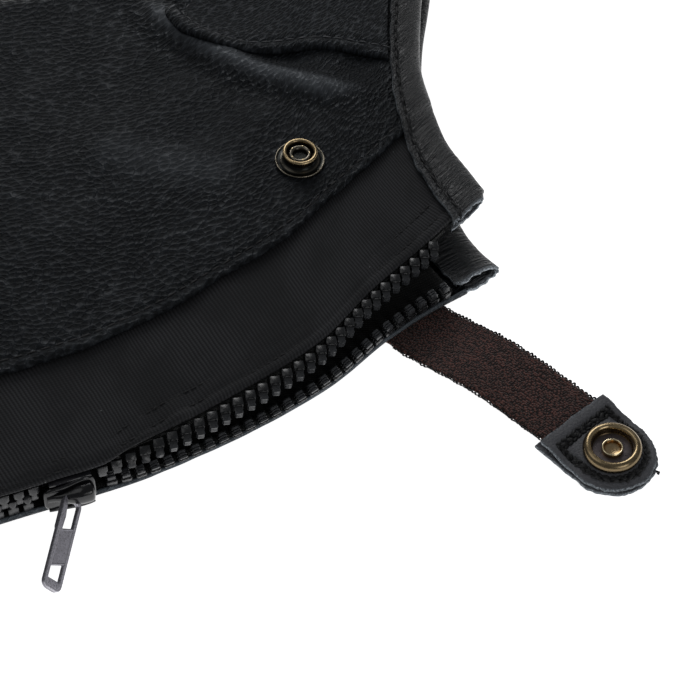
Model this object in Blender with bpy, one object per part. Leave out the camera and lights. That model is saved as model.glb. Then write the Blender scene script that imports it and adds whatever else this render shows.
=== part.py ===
"""A leather half chap, a riding gaiter, lying on its side with its ankle end unzipped.

Metres, +Z up. X runs down the leg, from the knee hem at -X to the ankle hem at +X, and Y runs
across it, from the zip at -Y to the shin fold at +Y. The side that rests is flat at z = 0, and
the origin lies on it. Tables and sizes at the top are in millimetres, as a maker writes them.
"""

import math

import bmesh
import bpy
import numpy as np
from mathutils import Matrix, Vector

MM = 0.001
SEAM_GAP = 0.3

# Thickness of each cloth.
LEATHER = 1.4
INNER_LEATHER = 1.2
ELASTIC = 1.2
TAPE = 1.0
PATCH_LEATHER = 1.2
BINDING_LEATHER = 1.0

# The leg, a row for each section from the knee hem to the ankle hem. back and front are the
# ends of the section on the upper layer, low is where the lower layer turns up to the zip.
# rim, crown and fold are the upper layer's height at the zip, at its middle and at the shin.
# gusset is the elastic's width, droop and stand are how steeply the two zip tapes hang and
# rise, bow and low_bow pull the section towards the knee, and lift raises the lower edge.
LEG_COLUMNS = (
    "back_x back_y front_x front_y low_x low_y rim crown fold gusset droop stand bow low_bow lift"
).split()
LEG = (
    (-212, -88.0, -218, 88.0, -212, -88.3, 16.4, 21.0, 15.0, 33.0, 90, 90, 0, 0, 0),
    (-150, -101.0, -152, 91.0, -150, -101.3, 16.4, 23.5, 16.5, 35.0, 90, 90, 0, 0, 0),
    (-80, -108.0, -80, 88.0, -80, -108.3, 16.4, 23.5, 16.5, 34.0, 90, 90, 0, 0, 0),
    (-10, -108.5, -8, 79.0, -10, -108.8, 16.4, 21.5, 16.0, 31.0, 90, 90, 0, 0, 0),
    (45, -105.3, 48, 67.0, 45, -105.6, 16.4, 20.0, 15.0, 29.0, 90, 90, 0, 0, 0),
    (78, -101.4, 82, 61.0, 78, -101.7, 16.4, 18.8, 15.0, 27.5, 90, 90, 0, 0, 0),
    (95, -99.4, 101, 58.5, 95, -99.7, 16.2, 18.2, 15.0, 28.0, 84, 86, 0, 0, 0),
    (104, -98.0, 111, 58.0, 104, -98.4, 15.9, 18.0, 15.0, 29.0, 44, 66, 0, 0, 0),
    (115, -95.5, 122, 58.5, 114.5, -96.0, 15.6, 17.8, 15.0, 30.5, 14, 56, 0, 0, 0),
    (134, -88.8, 146, 61.5, 133, -91.0, 15.6, 17.6, 15.0, 33.0, 8, 54, 0, 3, 0.4),
    (153, -79.8, 167, 68.0, 154, -83.2, 15.6, 17.3, 15.0, 34.0, 8, 60, 1, 6, 1.4),
    (169, -67.2, 184, 75.0, 171, -73.2, 15.6, 17.0, 15.0, 32.0, 8, 70, 3, 9, 2.2),
    (184, -57.2, 202, 81.5, 184, -67.2, 15.6, 16.8, 15.0, 30.5, 8, 80, 7.5, 12, 2.3),
    (196, -48.6, 218, 87.0, 193.5, -63.8, 15.6, 16.6, 15.0, 30.0, 8, 86, 11, 14, 2.3),
)
FOLD_FLATNESS = 0.55
BOW_SCALE = 6.75

# Soft ridges (+) and troughs (-) of the upper layer: two ends, height and half width.
CREASE_COLUMNS = "start_x start_y end_x end_y height half_width".split()
CREASES = (
    (128, 47, 186, -5, 2.0, 8.0),
    (146, 58, 192, 20, -1.3, 8.0),
    (58, -38, 96, 44, -0.9, 11.0),
    (-6, -60, 14, 50, -1.1, 14.0),
    (-96, 62, -40, -20, 1.0, 15.0),
    (-176, -50, -120, 60, -1.2, 16.0),
)

# Turns at the zip edge: the upper layer over its tape, the lower leather up to its tape.
BEND_STEPS = 4
UPPER_BEND = 5.0
LOWER_BEND = 3.0
ROOT_STEP = 0.5

# Depths below the upper leather's outer face, and below the lower leather's outer face.
ELASTIC_TOP = LEATHER + SEAM_GAP
TAPE_TOP = ELASTIC_TOP + ELASTIC + SEAM_GAP
TAPE_MIDDLE = TAPE_TOP + TAPE / 2
LOW_TAPE_TOP = INNER_LEATHER + SEAM_GAP
LOW_TAPE_MIDDLE = LOW_TAPE_TOP + TAPE / 2
LAP = 7.0
TAPE_WIDTH = 10.0

# The zip, a coarse moulded one.
TOOTH_REACH = 4.6
CHAIN_WIDTH = 7.6
CHAIN_THICKNESS = 3.8
SLIDER_X = 88.0
SLIDER_LENGTH = 12.6
CHAIN_START_X = -198.0
CHAIN_END_X = 189.5
ZIP_BOX_LENGTH = 9.0

# The slider: how far its plates clear the chain and reach up and down over the tapes, the
# wedge between the rows, and the bridge, with its posts, that carries the pull.
PLATE_CLEAR = 0.35
PLATE_OUTER = 3.35
FRONT_PLATE = (-5.0, 5.0)
BACK_PLATE = (-4.1, 4.3)
WEDGE = 3.0
WEDGE_HALF = 1.2
BRIDGE_UNDER = 6.4
BRIDGE_TOP = 7.2
BRIDGE_HALF = 0.6
BRIDGE_POSTS = (-5.4, 5.4)
POST = 1.9
ROOTED = 0.45

# The instep patch: where it starts up the leg, its edge at the hem, how far that arches.
PATCH_START_X = 119.0
PATCH_HEM_Y = 8.8
PATCH_ARCH = 36.0
PATCH_LIFT = 0.5

# Hems: the leather strip folded over each end.
MARGIN = 3.2
ROLL = 8.6
HEM_RISE = SEAM_GAP + BINDING_LEATHER
HEM_FLAT = 3.8
HEM_RISE_LENGTH = 18.0
CORNER_PLATEAU = 18.0
CORNER_FADE = 24.0

# The closing strap, its leather tab and the snap.
STRAP_WIDTH = 17.6
STRAP_THICKNESS = 1.1
STRAP_ROOT = (178.7, -70.0)
STRAP_HEADING = -54.9
STRAP_UNDER = 10.0
STRAP_LENGTH = 48.2
TAB_HEADING = -62.0
TAB_WIDTH = 21.0
TAB_STRAIGHT = 13.2
TAB_LAP = 8.0
TAB_LEATHER = 1.0
CAP_HEIGHT = 0.7
TAB_BOTTOM = CAP_HEIGHT + SEAM_GAP
STRAP_LEVEL = TAB_BOTTOM + TAB_LEATHER + SEAM_GAP
TAB_TOP = STRAP_LEVEL + STRAP_THICKNESS + SEAM_GAP
TAB_LOWER_START = -0.8
TAB_LOWER_GROWTH = 0.4
STRAP_ARCH = 2.2
STRAP_TURN_FROM = 0.7
SOCKET_RADIUS = 6.75
STUD_AT = (160.8, -24.9)
STUD_RADIUS = 6.25

# The pull tab: its hinge's height under the bridge, its frame round two slots with a solid
# middle, how it leans up the leg and rolls, and how high its tip lies.
PULL_HINGE = 1.6
PULL_LENGTH = 23.4
PULL_WIDTH = 5.6
PULL_THICKNESS = 1.3
PULL_RAIL = 0.9
PULL_HEAD = 0.6
PULL_SOLID = (9.0, 16.4)
PULL_END_BAR = 2.2
PULL_CORNER = 1.4
PULL_LEAN = -0.50
PULL_ROLL = 42.0
PULL_TIP_HEIGHT = 3.4

COLORS = {
    "leather": ((0.012, 0.013, 0.015), 0.45, 0.0),
    "elastic": ((0.010, 0.010, 0.011), 0.90, 0.0),
    "tape": ((0.008, 0.008, 0.009), 0.95, 0.0),
    "teeth": ((0.020, 0.021, 0.024), 0.45, 0.0),
    "slider": ((0.010, 0.010, 0.012), 0.25, 0.6),
    "pull": ((0.085, 0.080, 0.092), 0.40, 0.8),
    "strap": ((0.045, 0.021, 0.016), 0.90, 0.0),
    "tab": ((0.030, 0.033, 0.036), 0.55, 0.0),
    "brass": ((0.230, 0.150, 0.070), 0.32, 1.0),
}


def material(kind):
    found = bpy.data.materials.get(kind)
    if found:
        return found
    color, roughness, metallic = COLORS[kind]
    made = bpy.data.materials.new(kind)
    made.use_nodes = True
    shader = made.node_tree.nodes["Principled BSDF"]
    shader.inputs["Base Color"].default_value = (*color, 1.0)
    shader.inputs["Roughness"].default_value = roughness
    shader.inputs["Metallic"].default_value = metallic
    made.diffuse_color = (*color, 1.0)
    return made


def smooth(t):
    """0 to 1 with no slope at either end."""
    t = np.clip(t, 0.0, 1.0)
    return t * t * (3.0 - 2.0 * t)


def curve_through(knots, values, at):
    """A smooth curve through the table's values, which never swings past them."""
    step = np.diff(knots)
    rise = np.diff(values) / step
    slopes = np.zeros(len(knots))
    slopes[0], slopes[-1] = rise[0], rise[-1]
    same = rise[:-1] * rise[1:] > 0
    pair = np.where(same, rise[:-1] + rise[1:], 1.0)
    slopes[1:-1] = np.where(same, 2.0 * rise[:-1] * rise[1:] / pair, 0.0)
    index = np.clip(np.searchsorted(knots, at) - 1, 0, len(step) - 1)
    t = (at - knots[index]) / step[index]
    inside = np.clip(t, 0.0, 1.0)
    start, end = values[index], values[index + 1]
    first, last = slopes[index] * step[index], slopes[index + 1] * step[index]
    bend = first + (3 * (end - start) - 2 * first - last) * inside
    bend += (first + last - 2 * (end - start)) * inside**2
    beyond = (t - inside) * np.where(t > 1, last, first)
    return start + bend * inside + beyond


LEG_TABLE = dict(zip(LEG_COLUMNS, np.array(LEG, float).T))
LEG_KNOTS = LEG_TABLE["back_x"]
KNEE, ANKLE = LEG_KNOTS[0], LEG_KNOTS[-1]


def leg(name, x):
    return curve_through(LEG_KNOTS, LEG_TABLE[name], x)


def crease_height(x, y):
    """The ridges and troughs at a point: round across, fading to nothing at their ends."""
    total = 0.0
    for row in CREASES:
        crease = dict(zip(CREASE_COLUMNS, row))
        along = np.array((crease["end_x"] - crease["start_x"], crease["end_y"] - crease["start_y"]))
        length = math.hypot(*along)
        along = along / length
        from_x, from_y = x - crease["start_x"], y - crease["start_y"]
        t = (from_x * along[0] + from_y * along[1]) / length
        aside = (from_y * along[0] - from_x * along[1]) / crease["half_width"]
        fade = smooth(t * 3.0) * smooth((1.0 - t) * 3.0)
        total = total + crease["height"] * fade * np.exp(-(aside**2))
    return total


def plan_point(x, across, back, bow):
    """Where a distance across the section lies in plan, from back towards the shin."""
    back_x, back_y = leg(back + "_x", x), leg(back + "_y", x)
    run_x, run_y = leg("front_x", x) - back_x, leg("front_y", x) - back_y
    width = np.hypot(run_x, run_y)
    t = across / width
    inside = np.clip(t, 0.0, 1.0)
    pull = BOW_SCALE * leg(bow, x) * inside * (1.0 - inside) ** 2
    return back_x + run_x * t - pull, back_y + run_y * t


def section_width(x, back):
    return np.hypot(
        leg("front_x", x) - leg(back + "_x", x), leg("front_y", x) - leg(back + "_y", x)
    )


def fold_radius(x):
    return FOLD_FLATNESS * leg("fold", x)


def fold_arc(x):
    """Length of the quarter turn from the flat of a layer to the shin seam."""
    return math.pi / 2 * np.sqrt((fold_radius(x) ** 2 + (leg("fold", x) / 2) ** 2) / 2)


def rise_from(hem_distance):
    """How far the resting side lifts off the table near a hem, so that its binding fits under."""
    return HEM_RISE * smooth(1.0 - (hem_distance - HEM_FLAT) / HEM_RISE_LENGTH)


def upper_skin(x, around):
    """The upper layer's outer face. around runs from the zip edge (0) over the top and down
    the shin fold; below 0 it turns down over the zip tape."""
    x, around = np.broadcast_arrays(np.asarray(x, float), np.asarray(around, float))
    flat = section_width(x, "back") - fold_radius(x)
    top = np.clip(around, 0.0, flat)
    t = top / flat
    rim, crown, fold = leg("rim", x) + rise_from(x - KNEE), leg("crown", x), leg("fold", x)
    bulge = crown - (rim + fold) / 2
    height = rim + (fold - rim) * smooth(t) + bulge * np.sin(math.pi * t) ** 2
    turn = np.clip((around - flat) / fold_arc(x), 0.0, 1.0) * math.pi / 2
    across = top + fold_radius(x) * np.sin(turn)
    height = height - fold / 2 * (1.0 - np.cos(turn))
    droop = np.radians(leg("droop", x))
    bend = np.clip(-around / UPPER_BEND, 0.0, droop)
    rest = np.maximum(-around - UPPER_BEND * droop, 0.0)
    across = across - UPPER_BEND * np.sin(bend) - rest * np.cos(droop)
    height = height - UPPER_BEND * (1.0 - np.cos(bend)) - rest * np.sin(droop)
    plan_x, plan_y = plan_point(x, across, "back", "bow")
    height = height + crease_height(plan_x, plan_y) * smooth(t * 8.0) * np.cos(turn)
    return np.stack((plan_x, plan_y, height), axis=-1)


def lower_skin(x, around):
    """The lower layer's outer face. around runs from the zip edge (0) along the flat that
    rests and up the shin fold; below 0 it turns up to the zip tape."""
    x, around = np.broadcast_arrays(np.asarray(x, float), np.asarray(around, float))
    flat = section_width(x, "low") - fold_radius(x)
    bottom = np.clip(around, 0.0, flat)
    corner = leg("lift", x) * (1.0 - smooth((bottom - CORNER_PLATEAU) / CORNER_FADE))
    base = np.maximum(rise_from(np.minimum(x - KNEE, ANKLE - x)), corner)
    turn = np.clip((around - flat) / fold_arc(x), 0.0, 1.0) * math.pi / 2
    across = bottom + fold_radius(x) * np.sin(turn)
    height = base + (leg("fold", x) / 2 - base) * (1.0 - np.cos(turn))
    stand = np.radians(leg("stand", x))
    bend = np.clip(-around / LOWER_BEND, 0.0, stand)
    rest = np.maximum(-around - LOWER_BEND * stand, 0.0)
    across = across - LOWER_BEND * np.sin(bend) - rest * np.cos(stand)
    height = height + LOWER_BEND * (1.0 - np.cos(bend)) + rest * np.sin(stand)
    plan_x, plan_y = plan_point(x, across, "low", "low_bow")
    return np.stack((plan_x, plan_y, height), axis=-1)


def outward(skin, x, around, reach=0.05):
    """The unit normal that points out of the leg, and the unit tangent down the leg."""
    down_leg = skin(x + reach, around) - skin(x - reach, around)
    across = skin(x, around + reach) - skin(x, around - reach)
    normal = np.cross(down_leg, across)
    normal /= np.linalg.norm(normal, axis=-1, keepdims=True)
    down_leg /= np.linalg.norm(down_leg, axis=-1, keepdims=True)
    return (normal if skin is upper_skin else -normal), down_leg


def at_depth(skin, x, around, depth):
    """Points of a layer moved in by a depth, or out by a negative one."""
    x, around = np.broadcast_arrays(np.asarray(x, float), np.asarray(around, float))
    normal, _ = outward(skin, x, around)
    return skin(x, around) - normal * np.asarray(depth, float)[..., None]


def stations(start, end):
    """Places down the leg for the walls' sections: closer together at the ankle."""
    fine, coarse, fine_from = 7.5, 21.0, 75.0
    places = [start]
    while places[-1] < end:
        places.append(places[-1] + (fine if places[-1] > fine_from - coarse / 2 else coarse))
    places = np.array(places)
    return start + (places - start) * (end - start) / (places[-1] - start)


def panel_stations():
    """The stations of a whole panel, with one more behind each hem's binding."""
    between = stations(KNEE + HEM_FLAT, ANKLE - HEM_FLAT)
    return np.concatenate(([KNEE], between, [ANKLE]))


def around_columns(x, start, end, flat_steps, back):
    """Places around the leg from start to end: close together where the cloth turns over at
    the zip and round the shin fold, and even on the flat between."""
    x, start, end = np.broadcast_arrays(np.atleast_1d(np.asarray(x, float)), start, end)
    flat = flat_end(x, back)
    parts = []
    if start[0] < 0.0:
        parts.append(start[:, None] * np.linspace(1.0, 0.0, BEND_STEPS + 1)[:-1])
    low, high = np.maximum(start, 0.0), np.minimum(end, flat)
    parts.append(low[:, None] + (high - low)[:, None] * np.linspace(0.0, 1.0, flat_steps + 1))
    if end[0] > flat[0]:
        parts.append(flat[:, None] + (end - flat)[:, None] * np.linspace(0.0, 1.0, BEND_STEPS + 1)[1:])
    return np.concatenate(parts, axis=1)


def add_object(name, points, faces, kind, sharp=40.0):
    """A mesh object from points in millimetres, turned so that its faces point out."""
    mesh = bpy.data.meshes.new(name)
    mesh.from_pydata((np.asarray(points) * MM).tolist(), [], faces)
    shape = bmesh.new()
    shape.from_mesh(mesh)
    if shape.calc_volume(signed=True) < 0:
        bmesh.ops.reverse_faces(shape, faces=shape.faces)
    shape.to_mesh(mesh)
    shape.free()
    mesh.shade_smooth()
    mesh.set_sharp_from_angle(angle=math.radians(sharp))
    mesh.materials.append(material(kind))
    made = bpy.data.objects.new(name, mesh)
    bpy.context.scene.collection.objects.link(made)
    return made


def grid_faces(rows, columns, first=0):
    return [
        (
            first + i * columns + j,
            first + (i + 1) * columns + j,
            first + (i + 1) * columns + j + 1,
            first + i * columns + j + 1,
        )
        for i in range(rows - 1)
        for j in range(columns - 1)
    ]


def add_wall(name, outer, inner, kind):
    """A closed wall between two grids of points: both faces, and the cut edge all round."""
    rows, columns = outer.shape[:2]
    count = rows * columns
    faces = grid_faces(rows, columns)
    faces += [face[::-1] for face in grid_faces(rows, columns, count)]
    rim = [(0, j) for j in range(columns)]
    rim += [(i, columns - 1) for i in range(1, rows)]
    rim += [(rows - 1, j) for j in range(columns - 2, -1, -1)]
    rim += [(i, 0) for i in range(rows - 2, 0, -1)]
    edge = [i * columns + j for i, j in rim]
    for here, ahead in zip(edge, edge[1:] + edge[:1]):
        faces.append((here, ahead, ahead + count, here + count))
    points = np.concatenate((outer.reshape(-1, 3), inner.reshape(-1, 3)))
    return add_object(name, points, faces, kind)


def add_bar(name, rings, kind):
    """A closed bar through rings of the same number of points, capped at both ends."""
    rings = np.asarray(rings)
    count, around = rings.shape[:2]
    faces = [
        (ring + j, ring + around + j, ring + around + (j + 1) % around, ring + (j + 1) % around)
        for ring in range(0, (count - 1) * around, around)
        for j in range(around)
    ]
    last = (count - 1) * around
    faces.append(tuple(range(around)))
    faces.append(tuple(range(last, last + around))[::-1])
    return add_object(name, rings.reshape(-1, 3), faces, kind)


def layer_wall(name, skin, places, around, depth, thickness, kind):
    """A cloth wall of a layer at each place down the leg and each place around it."""
    x = np.repeat(places[:, None], around.shape[1], axis=1)
    outer = at_depth(skin, x, around, np.full(x.shape, depth))
    inner = at_depth(skin, x, around, np.full(x.shape, depth + thickness))
    add_wall(name, outer, inner, kind)


def flat_end(x, back):
    """How far round a layer runs to where it turns over at the shin."""
    return section_width(x, back) - fold_radius(x)


def shin_end(x, back):
    """How far round a layer runs to the middle of the shin fold."""
    return flat_end(x, back) + fold_arc(x)


def upper_root(x):
    return -UPPER_BEND * np.radians(leg("droop", x))


def lower_root(x):
    return -LOWER_BEND * np.radians(leg("stand", x))


def add_leather_and_elastic():
    x = panel_stations()
    gusset = leg("gusset", x)
    around = around_columns(x, gusset, flat_end(x, "back") - SEAM_GAP / 2, 27, "back")
    layer_wall("outer_panel", upper_skin, x, around, 0.0, LEATHER, "leather")
    around = around_columns(x, lower_root(x), flat_end(x, "low") - SEAM_GAP / 2, 12, "low")
    layer_wall("inner_panel", lower_skin, x, around, 0.0, INNER_LEATHER, "leather")
    around = around_columns(x, upper_root(x) + 0.6, gusset + LAP, 7, "back")
    layer_wall("elastic_panel", upper_skin, x, around, ELASTIC_TOP, ELASTIC, "elastic")


def add_shin_panel():
    """The strip of leather over the shin fold, from seam to seam: the upper layer's turn and
    then the lower layer's, which meet at the middle of the fold."""
    places = panel_stations()
    x = np.repeat(places[:, None], BEND_STEPS + 1, axis=1)
    turn = np.linspace(0.0, 1.0, BEND_STEPS + 1)
    faces = []
    for depth in (0.0, LEATHER):
        halves = []
        for skin, back in ((upper_skin, "back"), (lower_skin, "low")):
            start = flat_end(places, back) + SEAM_GAP / 2
            around = start[:, None] + (shin_end(places, back) - start)[:, None] * turn
            halves.append(at_depth(skin, x, around, np.full(x.shape, depth)))
        faces.append(np.concatenate((halves[0], halves[1][:, -2::-1]), axis=1))
    add_wall("shin_panel", *faces, "leather")


def add_tapes():
    x = panel_stations()[1:-1]
    to_teeth = ROOT_STEP - SEAM_GAP - 0.2
    around = around_columns(x, upper_root(x) - to_teeth, TAPE_WIDTH, 2, "back")
    layer_wall("zip_tape_upper", upper_skin, x, around, TAPE_TOP, TAPE, "tape")
    around = around_columns(x, lower_root(x) - to_teeth, TAPE_WIDTH, 2, "low")
    layer_wall("zip_tape_lower", lower_skin, x, around, LOW_TAPE_TOP, TAPE, "tape")


def add_instep_patch():
    """The leather set over the instep: its lower edge arches from the ankle hem to the shin."""
    x = panel_stations()[:-1]
    x = x[x > PATCH_START_X]
    t = (x[-1] - x) / (x[-1] - x[0])
    edge_y = PATCH_HEM_Y + PATCH_ARCH * (1.0 - np.sqrt(1.0 - t**2))
    back_y = leg("back_y", x)
    edge = (edge_y - back_y) / (leg("front_y", x) - back_y) * section_width(x, "back")
    around = around_columns(x, edge, shin_end(x, "back") - SEAM_GAP / 2, 13, "back")
    layer_wall(
        "instep_patch", upper_skin, x, around, -PATCH_LIFT - PATCH_LEATHER, PATCH_LEATHER, "leather"
    )


def zip_frame(skin, x):
    """The root of the teeth, the way they point, and the way out of the chain's face."""
    if skin is upper_skin:
        around = upper_root(x) - ROOT_STEP
        root = at_depth(skin, x, around, np.full(x.shape, TAPE_MIDDLE))
    else:
        around = lower_root(x) - ROOT_STEP
        root = at_depth(skin, x, around, np.full(x.shape, LOW_TAPE_MIDDLE))
    normal, _ = outward(skin, x, around - 1.0)
    point = skin(x, around - 2.0) - skin(x, around - 1.0)
    return root, point / np.linalg.norm(point, axis=-1, keepdims=True), normal


def add_chain(name, skin, start, end, width):
    places = panel_stations()
    x = np.concatenate(([start], places[(places > start + 1.0) & (places < end - 1.0)], [end]))
    root, point, normal = zip_frame(skin, x)
    half = normal * CHAIN_THICKNESS / 2
    tip = root + point * np.asarray(width(x) if callable(width) else width)[..., None]
    rings = np.stack((root + half, tip + half, tip - half, root - half), axis=1)
    add_bar(name, rings, "teeth")


def tooth_reach(x):
    """How far the open teeth reach: half the closed chain where they leave the slider."""
    half_chain = CHAIN_WIDTH / 2 - 0.4
    return half_chain + (TOOTH_REACH - half_chain) * smooth((x - SLIDER_X - 10.0) / 15.0)


def slider_place():
    """Centre of the slider, and its axes: along the zip, up the chain's face, out of it."""
    x = np.array([SLIDER_X - 0.5, SLIDER_X + 0.5])
    root, point, _ = zip_frame(upper_skin, x)
    centre = root.mean(axis=0) + point.mean(axis=0) * CHAIN_WIDTH / 2
    along = root[1] - root[0]
    along /= np.linalg.norm(along)
    up = np.array((0.0, 0.0, 1.0))
    up = up - along * up.dot(along)
    up /= np.linalg.norm(up)
    return centre, along, up, np.cross(along, up)


def box_mesh(shape, low, high):
    corners = [
        shape.verts.new((x, y, z))
        for x in (low[0], high[0])
        for y in (low[1], high[1])
        for z in (low[2], high[2])
    ]
    for face in ((0, 1, 3, 2), (4, 6, 7, 5), (0, 4, 5, 1), (2, 3, 7, 6), (0, 2, 6, 4), (1, 5, 7, 3)):
        shape.faces.new([corners[i] for i in face])


def add_boxes(name, boxes, kind, place):
    """One body from boxes that overlap, joined by Booleans and put in place."""
    made = None
    for number, (low, high) in enumerate(boxes):
        shape = bmesh.new()
        box_mesh(shape, [v * MM for v in low], [v * MM for v in high])
        bmesh.ops.recalc_face_normals(shape, faces=shape.faces)
        mesh = bpy.data.meshes.new(f"{name}_{number}")
        shape.to_mesh(mesh)
        shape.free()
        part = bpy.data.objects.new(name if made is None else f"{name}_{number}", mesh)
        bpy.context.scene.collection.objects.link(part)
        if made is None:
            made = part
            mesh.materials.append(material(kind))
            continue
        part.hide_render = True
        part.display_type = "WIRE"
        part.matrix_world = place
        union = made.modifiers.new(f"join_{number}", "BOOLEAN")
        union.operation = "UNION"
        union.object = part
    made.matrix_world = place
    return made


def placing(centre, along, up, out):
    """A matrix with X along, Y up and Z out, its origin at a point in millimetres."""
    place = Matrix(np.column_stack((along, up, out)).tolist()).to_4x4()
    place.translation = Vector((np.asarray(centre) * MM).tolist())
    return place


def add_slider():
    """Two plates joined by a wedge between the open rows, and the pull's bridge on two posts."""
    half = SLIDER_LENGTH / 2
    plate = CHAIN_THICKNESS / 2 + PLATE_CLEAR
    bridge_from, bridge_to = BRIDGE_POSTS
    foot = PLATE_OUTER - ROOTED
    boxes = (
        ((-half, FRONT_PLATE[0], plate), (half, FRONT_PLATE[1], PLATE_OUTER)),
        ((-half, BACK_PLATE[0], -PLATE_OUTER), (half, BACK_PLATE[1], -plate)),
        ((WEDGE, -WEDGE_HALF, -plate - ROOTED), (half, WEDGE_HALF, plate + ROOTED)),
        ((bridge_from, -BRIDGE_HALF, foot), (bridge_from + POST, BRIDGE_HALF, BRIDGE_TOP)),
        ((bridge_to - POST, -BRIDGE_HALF, foot), (bridge_to, BRIDGE_HALF, BRIDGE_TOP)),
        (
            (bridge_from + POST / 2, -BRIDGE_HALF, BRIDGE_UNDER),
            (bridge_to - POST / 2, BRIDGE_HALF, BRIDGE_TOP),
        ),
    )
    add_boxes("zip_slider", boxes, "slider", placing(*slider_place()))


def pull_place():
    """The pull's axes: down its length, across it (the hinge), and out of its face."""
    centre, along, up, out = slider_place()
    pivot = centre + out * (PLATE_OUTER + PULL_HINGE)
    drop = (PULL_TIP_HEIGHT - pivot[2]) / PULL_LENGTH
    outwards = math.sqrt(1.0 - PULL_LEAN**2 - drop**2)
    length = along * PULL_LEAN + out * outwards + up * drop
    level = np.cross(length, along)
    level /= np.linalg.norm(level)
    edge_on = np.cross(level, length)
    roll = math.radians(PULL_ROLL)
    across = level * math.cos(roll) - edge_on * math.sin(roll)
    return pivot, length, across, np.cross(length, across)


def add_pull():
    """A flat tab with a slot at its head, which loops the bridge, and one near its tip."""
    half, thick = PULL_WIDTH / 2, PULL_THICKNESS / 2
    inner, tip = half - PULL_RAIL, PULL_LENGTH - PULL_HEAD
    shoulder, nose = tip - PULL_CORNER / 2, half - PULL_CORNER
    boxes = (
        ((-PULL_HEAD, -half, -thick), (PULL_HEAD, half, thick)),
        ((-PULL_HEAD, -half, -thick), (shoulder, -inner, thick)),
        ((-PULL_HEAD, inner, -thick), (shoulder, half, thick)),
        ((PULL_SOLID[0], -half, -thick), (PULL_SOLID[1], half, thick)),
        ((tip - PULL_END_BAR, -half, -thick), (shoulder, half, thick)),
        ((shoulder - PULL_CORNER / 2, -nose, -thick), (tip, nose, thick)),
    )
    add_boxes("zip_pull", boxes, "pull", placing(*pull_place()))


def add_zip():
    clear = SLIDER_LENGTH / 2 + 3 * SEAM_GAP
    box_end = CHAIN_START_X - SEAM_GAP
    add_chain("zip_box", upper_skin, box_end - ZIP_BOX_LENGTH, box_end, CHAIN_WIDTH)
    add_chain("zip_chain", upper_skin, CHAIN_START_X, SLIDER_X - clear, CHAIN_WIDTH)
    add_chain("zip_teeth_upper", upper_skin, SLIDER_X + clear, CHAIN_END_X, tooth_reach)
    add_chain("zip_teeth_lower", lower_skin, SLIDER_X + clear, CHAIN_END_X, tooth_reach)
    add_slider()
    add_pull()


def add_binding(name, skin, place, inside, around_at, top, bottom):
    """A folded strip round a layer's end: a U of leather, its margins on both faces of the cloth
    and its roll standing out past the end. top and bottom are its outer and inner heights."""
    around = around_at(place)[0]
    x = np.full(around.shape, place)
    normal, _ = outward(skin, x, around)
    at_edge = skin(x, around)
    down_leg = at_edge - skin(np.full(around.shape, inside), around_at(inside)[0])
    down_leg /= np.linalg.norm(down_leg, axis=-1, keepdims=True)
    arc = np.radians(np.linspace(90.0, -90.0, 6))
    wall, straight = BINDING_LEATHER, 0.8
    rings = []
    for edge, out, along, high, low in zip(at_edge, normal, down_leg, top(around), bottom(around)):
        middle, half, roll = (high + low) / 2, (high - low) / 2, ROLL - straight
        outer = [(straight + roll * math.cos(a), middle + half * math.sin(a)) for a in arc]
        inner = [
            (straight + (roll - wall) * math.cos(a), middle + (half - wall) * math.sin(a))
            for a in arc[::-1]
        ]
        profile = [(-MARGIN, high)] + outer + [(-MARGIN, low), (-MARGIN, low + wall)] + inner
        profile.append((-MARGIN, high - wall))
        rings.append([edge + along * h + out * v for h, v in profile])
    add_bar(name, rings, "leather")


def add_bindings():
    under_elastic = ELASTIC_TOP + ELASTIC + SEAM_GAP + BINDING_LEATHER
    for place, inward, label, overhang in ((ANKLE, -1.0, "ankle", 2.0), (KNEE, 1.0, "knee", -0.6)):
        inside = place + inward * HEM_FLAT
        gusset = leg("gusset", np.array([place]))

        def upper_around(x):
            x = np.array([x])
            start = upper_root(x) - overhang
            seam = around_columns(x, start, gusset - 1.0, 4, "back")
            return np.concatenate(
                (seam, around_columns(x, gusset + 5.0, shin_end(x, "back") - SEAM_GAP, 10, "back")), axis=1
            )

        def lower_around(x):
            x = np.array([x])
            return around_columns(x, 0.0, shin_end(x, "low") - SEAM_GAP, 14, "low")

        add_binding(
            f"{label}_binding_outer",
            upper_skin,
            place,
            inside,
            upper_around,
            lambda around: SEAM_GAP + BINDING_LEATHER - ELASTIC_TOP * (around < gusset - 3.0),
            lambda around: np.full(around.shape, -under_elastic),
        )
        add_binding(
            f"{label}_binding_inner",
            lower_skin,
            place,
            inside,
            lower_around,
            lambda around: np.full(around.shape, SEAM_GAP + BINDING_LEATHER),
            lambda around: np.full(around.shape, -LOW_TAPE_TOP - TAPE - SEAM_GAP - BINDING_LEATHER),
        )


def heading(degrees):
    angle = math.radians(degrees)
    return np.array((math.cos(angle), math.sin(angle))), np.array((-math.sin(angle), math.cos(angle)))


def strap_height(along):
    """Height of the strap's underside: on the table under the leather, arched up as it comes
    out, and level between the tab's two leathers."""
    arch = STRAP_ARCH * np.sin(math.pi * np.clip(along / STRAP_LENGTH, 0.0, 1.0)) ** 2
    return STRAP_LEVEL * smooth(along / STRAP_LENGTH) + arch


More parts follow.
